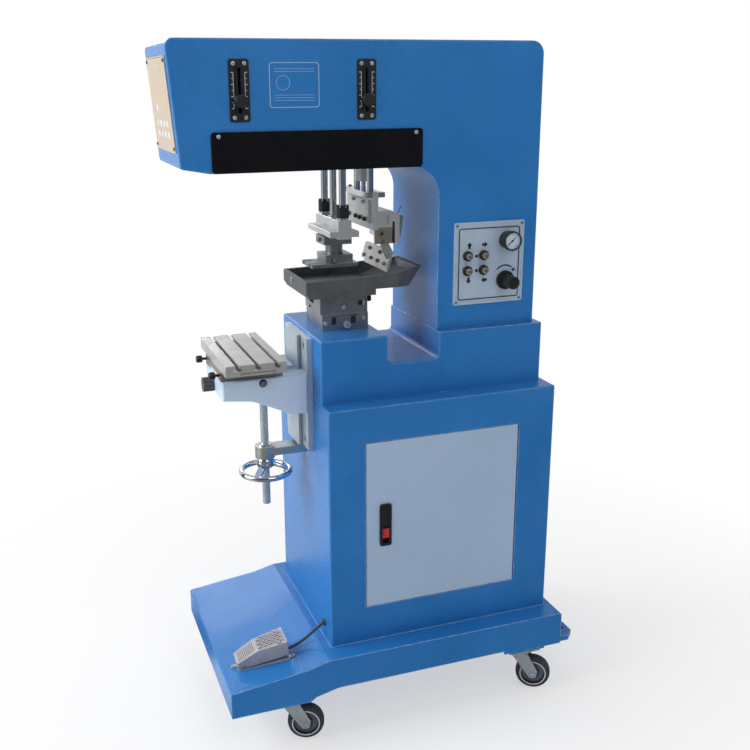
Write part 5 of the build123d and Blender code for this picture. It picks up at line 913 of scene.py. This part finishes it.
def dressFrontPanel():
    look = frontPanel
    corners = [(x, z) for x in (-look["screwX"], look["screwX"])
               for z in (look["low"] + look["screwInset"], look["high"] - look["screwInset"])]
    places = [(*place, tuple(out)) for place, out in (panelSpot(x, z)[:2] for x, z in corners)]
    setScrews("frontPanelScrews", crossHead, look["screwRadius"], blackPlastic, "frame", places, seed=11)
    bm = bmesh.new()
    wide, high = look["keySize"]
    for z, columns in look["keyRows"]:
        for x in columns:
            place, out, up = panelSpot(x, z)
            shape = outlinePoints(wide / 2, high / 2, look["keyCorner"], 4)
            inkInto(bm, onPlane(shape, place, (1, 0, 0), up), None, out, look["keyLift"])
    finishPiece(meshFrom(bm, "membraneKeys", 30), "frame", dialWhite)
    bm = bmesh.new()
    place, out, up = panelSpot(0.0, look["high"] - look["lineInset"])
    inkInto(bm, onPlane(rectPoints(*look["lineSize"]), place, (1, 0, 0), up), None, out)
    finishPiece(meshFrom(bm, "frontPanelLine"), "frame", brownInk)


dressFrontPanel()
print("front panel dressed")

# Control panel: border, arrows, dots and the curved arrow over the regulator

controlMarks = {
    "face": 131.8, "rim": 132.8, "low": (320.3, 759.8), "high": (467.9, 917.2), "line": 2.1, "corner": 6.0,
    "screws": ((315.9, 923.3), (472.4, 923.4), (316.0, 755.1), (471.6, 756.0)), "screwRadius": 0.0030,
    "arrows": ((346.5, 879.7, 0), (383.3, 880.2, 270), (345.7, 802.8, 180), (383.8, 801.9, 90)),
    "arrowShape": ((-0.42, -1.0), (0.42, -1.0), (0.42, -0.05), (0.92, -0.05), (0.0, 1.0), (-0.92, -0.05),
                   (-0.42, -0.05)),
    "arrowSize": 7.0, "dots": ((364.0, 855.7), (364.4, 823.5)), "dotRadius": 3.6,
    "arcCentre": (434.0, 806.0), "arcRadius": 25.5, "arcLine": 3.2, "arcSweep": (140, 50), "arcSteps": 16,
    "arcTip": 36, "arcHead": ((-5.4, 0.6), (0.8, -6.2), (4.6, 4.0)),
    "lessAndMore": ((-24.0, 13.0, 3.4, 0.9), (27.5, 12.0, 3.6, 0.9), (27.5, 12.0, 0.9, 3.6)),
}


def dressControlPanel():
    look = controlMarks
    setScrews("controlPanelScrews", crossHead, look["screwRadius"], darkSteel, "frame",
              screwSpots(look["rim"], look["screws"], "+x"), seed=17)
    bm = bmesh.new()
    borderInk(bm, look, look["rim"])
    face = look["face"]
    arrow = [(look["arrowSize"] * a, look["arrowSize"] * b) for a, b in look["arrowShape"]]
    for y, z, way in look["arrows"]:
        sideInk(bm, face, y, z, turnedPoints(arrow, math.radians(way)))
    for y, z in look["dots"]:
        ringInk(bm, face, y, z, look["dotRadius"], 0.0, 28)
    arcY, arcZ = look["arcCentre"]
    radius, half = look["arcRadius"], look["arcLine"] / 2
    first, last = look["arcSweep"]
    swept = [math.radians(first + (last - first) * k / look["arcSteps"]) for k in range(look["arcSteps"] + 1)]
    for a, b in zip(swept, swept[1:]):
        corners = ((radius - half, a), (radius - half, b), (radius + half, b), (radius + half, a))
        sideInk(bm, face, arcY, arcZ, [(r * math.cos(turn), r * math.sin(turn)) for r, turn in corners])
    tip = math.radians(look["arcTip"])
    sideInk(bm, face, arcY + radius * math.cos(tip), arcZ + radius * math.sin(tip), look["arcHead"])
    for y, z, wide, high in look["lessAndMore"]:
        inkBar(bm, face, arcY + y, arcZ + z, wide, high)
    finishPiece(meshFrom(bm, "controlMarks"), "frame", blackInk)


dressControlPanel()
print("control panel dressed")

# Pressure gauge: dial, marks, needle and glass; the faces are their x

gaugeLook = {
    "y": 437.0, "z": 888.0, "dialFace": 155.35, "dial": ((0, 0), (18.2, 0), (18.2, 0.6), (0, 0.6)),
    "markFace": 155.95, "ticks": 30, "sweep": (225, -45), "tickOuter": 15.6, "longTick": (3.4, 0.5),
    "shortTick": (1.9, 0.28), "ring": (16.1, 15.8),
    "hubFace": 156.8, "hub": ((0, 0), (2.2, 0), (2.2, 0.6), (1.6, 1.1), (0, 1.2)),
    "bladeFace": 156.85, "blade": ((-13.6, -0.5), (10.5, -1.0), (10.5, 1.0), (-13.6, 0.5)), "bladeLean": 45.0,
    "bladeThick": 0.0003,
    "glassFace": 159.6, "glass": ((0, 0), (18.1, 0), (18.1, 1.0), (10.0, 1.6), (0, 1.8)),
}


def dressGauge():
    look = gaugeLook
    y, z = look["y"], look["z"]
    turnedTrim("gaugeDial", "frame", dialWhite, spot(look["dialFace"], y, z), (1, 0, 0), look["dial"], 48)
    bm = bmesh.new()
    first, last = look["sweep"]
    for k in range(look["ticks"] + 1):
        turn = math.radians(first + (last - first) * k / look["ticks"])
        long, wide = look["longTick"] if k % 5 == 0 else look["shortTick"]
        middle = look["tickOuter"] - long / 2
        sideInk(bm, look["markFace"], y + middle * math.cos(turn), z + middle * math.sin(turn),
                turnedPoints(rectPoints(long, wide), turn))
    ringInk(bm, look["markFace"], y, z, *look["ring"], 48)
    finishPiece(meshFrom(bm, "gaugeMarks"), "frame", blackInk)
    turnedTrim("gaugeHub", "needle", blackPlastic, spot(look["hubFace"], y, z), (1, 0, 0), look["hub"], 24)
    bm = bmesh.new()
    blade = turnedPoints(look["blade"], math.radians(look["bladeLean"]))
    sideInk(bm, look["bladeFace"], y, z, blade, (), look["bladeThick"])
    finishPiece(meshFrom(bm, "needleBlade"), "needle", blackInk)
    turnedTrim("gaugeGlass", "frame", gaugeGlass, spot(look["glassFace"], y, z), (1, 0, 0), look["glass"], 48)


dressGauge()
print("gauge dressed")

# Socket screws on the mechanism: head radius in metres, finish, body, and places with their aims

bladeOut = (0.0, -0.958, 0.287)
mechanismScrews = (
    ("bracketBolt", 0.0060, darkSteel, "lift", [(88.0, -112.0, 605.0, "+x"), (-88.0, -112.0, 605.0, "-x")]),
    ("stageBolts", 0.0058, zincPlate, "stage", [(50.2, 83.0, 749.0, "+x")]),
    ("stageLowBolts", 0.0078, zincPlate, "frame", [(59.0, 88.0, 710.0, "+x")]),
    ("stageClampScrews", 0.0042, zincPlate, "frame", [(59.0, 39.0, 716.0, "+x"), (59.0, 127.0, 722.0, "+x")]),
    ("hangerScrews", 0.0042, zincPlate, "squeegee", [(x, 137.0, 974.0, "-y") for x in (-27.0, 32.0)]),
    ("squeegeeKnobs", 0.0048, blackPlastic, "squeegee",
     [(x, 137.0, 938.0, "-y") for x in (-60.0, -13.0, 13.0, 44.0)]),
    ("bladeClampScrews", 0.0042, darkSteel, "blade",
     [(x, 181.3, 859.0, bladeOut) for x in (-43.0, 20.0)]
     + [(x, 175.6, 840.0, bladeOut) for x in (-68.0, -22.0, 19.0, 60.0)]),
    ("padClampScrew", 0.0046, darkSteel, "pad_head", [(0.0, 48.0, 892.0, "-y"), (39.0, 70.0, 850.0, "+x")]),
    ("barEndBolt", 0.0030, darkSteel, "squeegee", [(79.0, 164.5, 892.0, "+x")]),
)
for name, size, material, body, places in mechanismScrews:
    setScrews(name, socketHead, size, material, body,
              [(*spot(x, y, z), aim) for x, y, z, aim in places], seed=23)
print("mechanism screws set")

# Table guide: socket screws in its four counterbores
guideLook = {"x": (-60.0, 60.0), "z": (456.5, 672.5), "radius": 0.0064, "face": -6.2}
setScrews("guideScrews", socketHead, guideLook["radius"], darkSteel, "frame",
          [(*spot(x, guideLook["face"], z), "-y") for x in guideLook["x"] for z in guideLook["z"]], seed=31)

# Black castellated collars over the pad rods, six notches round the top

collarLook = {"x": 62.0, "y": 80.0, "foot": 945.1, "outer": 13.75, "inner": 8.3, "height": 27.1,
              "notches": 6, "notchShare": 0.36, "notchDepth": 5.2, "count": 90}


def castleCollar(name, x):
    look = collarLook
    bm = bmesh.new()
    count, period = look["count"], look["count"] // look["notches"]
    levels = (0.0, look["height"] - look["notchDepth"], look["height"])
    verts = {}
    for side, radius in (("out", look["outer"]), ("in", look["inner"])):
        for k, (dx, dy) in enumerate(circlePoints(radius, count)):
            for step, level in enumerate(levels):
                verts[k, side, step] = bm.verts.new(spot(x + dx, look["y"] + dy, look["foot"] + level))

    def face(*keys):
        bm.faces.new([verts[key] for key in keys])

    tall = [k % period >= period * look["notchShare"] for k in range(count)]
    for k in range(count):
        n = (k + 1) % count
        top = 2 if tall[k] else 1
        for step in range(top):
            face((k, "out", step), (n, "out", step), (n, "out", step + 1), (k, "out", step + 1))
            face((n, "in", step), (k, "in", step), (k, "in", step + 1), (n, "in", step + 1))
        face((k, "out", top), (n, "out", top), (n, "in", top), (k, "in", top))
        face((n, "out", 0), (k, "out", 0), (k, "in", 0), (n, "in", 0))
        if tall[k] != tall[k - 1]:
            face((k, "out", 1), (k, "out", 2), (k, "in", 2), (k, "in", 1))
    finishPiece(meshFrom(bm, name, 30), "pad_head", blackPlastic)


castleCollar("collarLeft", -collarLook["x"])
castleCollar("collarRight", collarLook["x"])

# Control panel: sleeves, caps and slotted discs on the flow knobs; the ring at the regulator's foot comes with the
# small turned pieces below

sleeveLook = {
    "face": 132.2, "spots": ((341.0, 857.5), (379.5, 857.5), (341.0, 825.0), (379.5, 825.0)),
    "flowSleeve": (blackPlastic, ((7.15, 1.0), (10.8, 1.0), (10.8, 7.8), (10.2, 8.6), (7.15, 8.6)), 40),
    "flowCap": (nickelPlate, ((4.6, 14.6), (7.2, 14.6), (7.2, 15.6), (6.6, 16.1), (4.6, 16.1)), 28),
    "flowSlotDisc": (brassPlate, ((0, 14.9), (3.0, 14.9), (3.0, 15.7), (2.4, 16.0), (0, 16.0)), 24),
}
for number, (y, z) in enumerate(sleeveLook["spots"], start=1):
    for label in ("flowSleeve", "flowCap", "flowSlotDisc"):
        material, profile, segments = sleeveLook[label]
        turnedTrim(f"{label}{number}", f"flow_valve_{number}", material, spot(sleeveLook["face"], y, z),
                   (1, 0, 0), profile, segments)

# Small turned pieces: place in millimetres, axis, profile and the number of sides
turnedTrims = (
    ("regulatorRing", "frame", blackPlastic, (132.9, 434.0, 799.0), (1, 0, 0),
     ((14.8, 0.1), (20.9, 0.1), (20.9, 5.6), (20.1, 6.6), (14.8, 6.6)), 64),
    ("brassNut", "squeegee", brassPlate, (79.2, 161.0, 909.0), (1, 0, 0),
     ((3.0, 0), (6.2, 0), (6.2, 2.6), (5.2, 3.6), (3.0, 3.6)), 6),
    ("brassNutLow", "squeegee", brassPlate, (79.2, 164.0, 893.5), (1, 0, 0),
     ((2.2, 0), (4.6, 0), (4.6, 2.0), (3.9, 2.8), (2.2, 2.8)), 6),
    ("nutStud", "squeegee", blackPlastic, (79.2, 161.0, 909.0), (1, 0, 0),
     ((0, 0), (3.2, 0), (3.2, 5.5), (2.6, 6.2), (0, 6.2)), 24),
    ("leverPin", "squeegee", darkSteel, (74.0, 202.0, 950.5), (0, 0.4, 0.92),
     ((0, 0), (1.3, 0), (1.3, 17.0), (0, 17.0)), 16),
    ("trayBoss", "stage", darkSteel, (-19.0, -11.8, 802.5), (0, -1, 0),
     ((0, 0), (9.4, 0), (8.6, 2.0), (5.4, 3.2), (0, 3.6)), 32),
    ("bracketWasher", "lift", blackPlastic, (88.0, -112.0, 605.0), (1, 0, 0),
     ((6.0, 0), (8.6, 0), (8.6, 1.2), (6.0, 1.2)), 40),
    ("lugBush", "frame", brassPlate, (0.0, -91.2, 427.9), (0, 0, 1),
     ((12.4, 0), (16.4, 0), (16.4, 1.6), (15.6, 2.4), (12.4, 2.4)), 56),
    # a thin dark ring as painted shade in the lug's groove
    ("lugGroove", "frame", blackPlastic, (0.0, -91.2, 427.9), (0, 0, 1),
     ((16.4, 0), (18.4, 0), (18.4, 0.5), (16.4, 0.5)), 56),
    # a dark disc as painted shade in the pedal's rear hole
    ("pedalRearHole", "treadle", grooveShade, (179.5, -105.6, -4.7), (0.993, -0.115, -0.01),
     ((0, 0), (1.9, 0), (1.9, 0.3), (0, 0.3)), 20),
)
for name, body, material, place, axis, profile, segments in turnedTrims:
    turnedTrim(name, body, material, spot(*place), axis, profile, segments)
print("collars and turned trim made")

# Squeegee head: steel cheek, and dark strips as painted shade in the gap behind it and in a slot; stage: dark sheets
# as painted shade in its window and in the clamp slot's legs, and a tab;
# table: the gib's dark line on its end, a painted shadow line
smallBoxes = (
    ("cheekFace", "squeegee", warmReflectionSteel, (78.9, 147.0, 886.9), (79.35, 186.9, 922.0), 0.0004),
    ("cheekGap", "squeegee", blackPlastic, (70.0, 186.9, 886.9), (79.2, 193.1, 934.0), 0.0004),
    ("slotShade", "squeegee", blackPlastic, (72.6, 171.2, 927.2), (73.4, 179.3, 947.8), 0.0004),
    ("stageWindow", "stage", blackInk, (54.9, 115.5, 750.5), (55.15, 126.5, 761.0), 0.0001),
    ("slotLegFront", "frame", blackInk, (58.9, 53.0, 712.5), (59.15, 64.0, 728.5), 0.0001),
    ("slotLegRear", "frame", blackInk, (58.9, 98.0, 712.5), (59.15, 109.0, 728.5), 0.0001),
    ("stageTab", "stage", zincPlate, (54.9, 126.8, 750.0), (56.2, 131.0, 762.0), 0.0004),
    ("gibLine", "saddle", blackInk, (131.9, -166.0, 643.4), (132.12, -98.0, 644.8), 0.0001),
)
for row in smallBoxes:
    boxPiece(*row)
gibLook = {"face": 132.0, "spots": ((-97.0, 643.8), (-168.0, 643.8)), "radius": 0.0022}
setScrews("gibScrews", socketHead, gibLook["radius"], darkSteel, "saddle",
          screwSpots(gibLook["face"], gibLook["spots"], "+x"), seed=41)

# Lever on the squeegee head's control side

leverLook = {"sides": (76.5, 69.0), "arris": 0.0005,
             "outline": ((203.8, 948.0), (213.5, 944.0), (213.0, 938.0), (207.5, 900.0), (204.2, 900.0))}


def makeLever():
    bm = bmesh.new()
    near, far = ([bm.verts.new(spot(x, y, z)) for y, z in leverLook["outline"]] for x in leverLook["sides"])
    bm.faces.new(near)
    bm.faces.new(list(reversed(far)))
    joinLoops(bm, far, near)
    bmesh.ops.recalc_face_normals(bm, faces=bm.faces)
    bmesh.ops.bevel(bm, geom=list(bm.edges), offset=leverLook["arris"], segments=2, affect="EDGES")
    finishPiece(meshFrom(bm, "squeegeeLever", 35), "squeegee", darkSteel)


makeLever()
print("small plates and lever made")

# Castors: a pale ring and a grey disc on each side of the wheels, and the axle bolts;
# each wheel has its x and y from the origin and its heading in degrees

castorLook = {
    "wheels": ((210.198, -226.386, -18.0), (-210.198, -226.386, 18.0), (216.5, 347.808, -30.0),
               (-216.5, 347.808, 30.0)),
    "level": 41.0, "boltOut": 22.8, "boltRadius": 0.0050,
    "ring": ((28.9, 13.0), (31.4, 13.0), (31.4, 14.1), (30.8, 14.5), (29.5, 14.5), (28.9, 14.1)),
    "disc": ((15.2, 5.6), (27.4, 5.6), (27.4, 6.6), (15.2, 6.6)),
}
for number, (x, y, heading) in enumerate(castorLook["wheels"], start=1):
    turn = math.radians(heading)
    centre = (x / 1000, y / 1000, castorLook["level"] / 1000)
    bolts = []
    for label, flip in (("Near", 1), ("Far", -1)):
        axis = (flip * math.cos(turn), flip * math.sin(turn), 0.0)
        turnedTrim(f"wheelRing{number}{label}", f"wheel_{number}", dialWhite, centre, axis, castorLook["ring"], 72)
        turnedTrim(f"wheelDisc{number}{label}", f"wheel_{number}", wheelGrey, centre, axis, castorLook["disc"], 64)
        bolts.append((*(c + castorLook["boltOut"] / 1000 * a for c, a in zip(centre, axis)), axis))
    setScrews(f"axleBolts{number}", socketHead, castorLook["boltRadius"], zincPlate, f"fork_{number}",
              bolts, seed=51 + number)
print("castors dressed")

# Foot switch: pivot and ear screws, dark marks as painted shade in the slots in rows between the treadle's bold ribs,
# and grey marks as painted shade in the grooves between the fine ones; front, fold and rear are places on its
# outline, half its half width at each

treadLook = {
    "origin": (143.5, -208.0, -29.64), "side": (0.99926, -0.03809, -0.00479),
    "way": (0.03839, 0.99147, 0.12458), "normal": (0.0, -0.12467, 0.9922),
    "front": (0.0, 20.0), "fold": (48.0, 40.0), "rear": (116.0, 46.0), "foldHalf": 26.0, "rearHalf": 30.5,
    "rows": 8, "rowPitch": 7.667, "slot": (9.0, 3.6), "slotPitch": 12.2, "slant": 1.5, "margin": 4.5,
    "grooves": 10, "groovePitch": 4.24, "groove": 1.7, "grooveHalf": 18.2, "grooveFoot": 4.8, "lift": 0.06,
    "pivot": (168.2, -196.4, -17.1), "pivotRadius": 0.0034,
    "ears": ((143.15, -217.3, -27.7), (170.28, -85.28, -11.1)), "earRadius": 0.0038,
}
setScrews("pedalPivotScrew", crossHead, treadLook["pivotRadius"], darkSteel, "treadle",
          [(*spot(*treadLook["pivot"]), treadLook["side"])], seed=61)
setScrews("pedalEarScrews", crossHead, treadLook["earRadius"], zincPlate, "frame",
          [(*spot(*ear), treadLook["normal"]) for ear in treadLook["ears"]], seed=62)


def treadFace(low, high, across, along):
    # a spot on the tread between two points of its outline, in millimetres across and along it
    (y0, z0), (y1, z1) = low, high
    share = along / math.hypot(y1 - y0, z1 - z0)
    y, z = y0 + (y1 - y0) * share, z0 + (z1 - z0) * share + treadLook["lift"]
    origin, side, way, normal = (Vector(treadLook[key]) for key in ("origin", "side", "way", "normal"))
    return Vector(spot(*(origin + side * across + way * y + normal * z)))


def treadShadeMarks(name, low, high, marks, material):
    (y0, z0), (y1, z1) = low, high
    lean = math.atan2(z1 - z0, y1 - y0)
    out = Vector(treadLook["normal"]) * math.cos(lean) - Vector(treadLook["way"]) * math.sin(lean)
    bm = bmesh.new()
    for corners in marks:
        inkInto(bm, [treadFace(low, high, across, along) for across, along in corners], None, out)
    finishPiece(meshFrom(bm, name), "treadle", material)


def dressTread():
    look = treadLook
    front, fold, rear = look["front"], look["fold"], look["rear"]
    upper = math.hypot(rear[0] - fold[0], rear[1] - fold[1])
    long, wide = look["slot"]
    marks = []
    for row in range(look["rows"]):
        across = (row - (look["rows"] - 1) / 2) * look["rowPitch"]
        start = look["margin"] + (row % 2) * look["slotPitch"] / 2
        while start + long < upper - look["margin"]:
            room = look["foldHalf"] + (look["rearHalf"] - look["foldHalf"]) * start / upper
            if abs(across) + wide / 2 < room:
                marks.append([(across + (a * wide + b * look["slant"]) / 2, start + long * (b > 0))
                              for a, b in ((-1, -1), (1, -1), (1, 1), (-1, 1))])
            start += look["slotPitch"]
    treadShadeMarks("treadSlots", fold, rear, marks, grooveShade)
    marks = []
    for row in range(look["grooves"]):
        middle = look["grooveFoot"] + (row + 0.5) * look["groovePitch"]
        marks.append([(x, middle + z) for x, z in rectPoints(2 * look["grooveHalf"], look["groove"])])
    treadShadeMarks("treadGrooves", front, fold, marks, softGrooveShade)


dressTread()
print("foot switch dressed")

# Weld bead round the cabinet's foot; each ripple has its share of the radius and its rate along the bead

beadLook = {"half": 190.0, "front": 0.0, "rear": 542.2, "radius": 2.6, "pitch": 4.0, "sides": 10,
            "ripples": ((0.16, 2.1), (0.08, 0.7))}


def makeBead():
    look = beadLook
    corners = [(-look["half"], look["rear"]), (-look["half"], look["front"]),
               (look["half"], look["front"]), (look["half"], look["rear"])]
    path = []
    for (x0, y0), (x1, y1) in zip(corners, corners[1:]):
        steps = int(max(abs(x1 - x0), abs(y1 - y0)) / look["pitch"])
        path += [(x0 + (x1 - x0) * k / steps, y0 + (y1 - y0) * k / steps) for k in range(steps)]
    path.append(corners[-1])
    bm = bmesh.new()
    loops = []
    for index, (x, y) in enumerate(path):
        before, after = path[max(index - 1, 0)], path[min(index + 1, len(path) - 1)]
        along = Vector((after[0] - before[0], after[1] - before[1], 0)).normalized()
        radius = look["radius"] * (1.0 + sum(share * math.sin(index * rate) for share, rate in look["ripples"]))
        loops.append([bm.verts.new(spot(x + along.y * out, y - along.x * out, up))
                      for out, up in circlePoints(radius, look["sides"])])
    for low, high in zip(loops, loops[1:]):
        joinLoops(bm, low, high)
    bm.faces.new(loops[0])
    bm.faces.new(list(reversed(loops[-1])))
    finishPiece(meshFrom(bm, "footWeld", 60), "frame", bluePaint)


makeBead()
print("small pieces done")
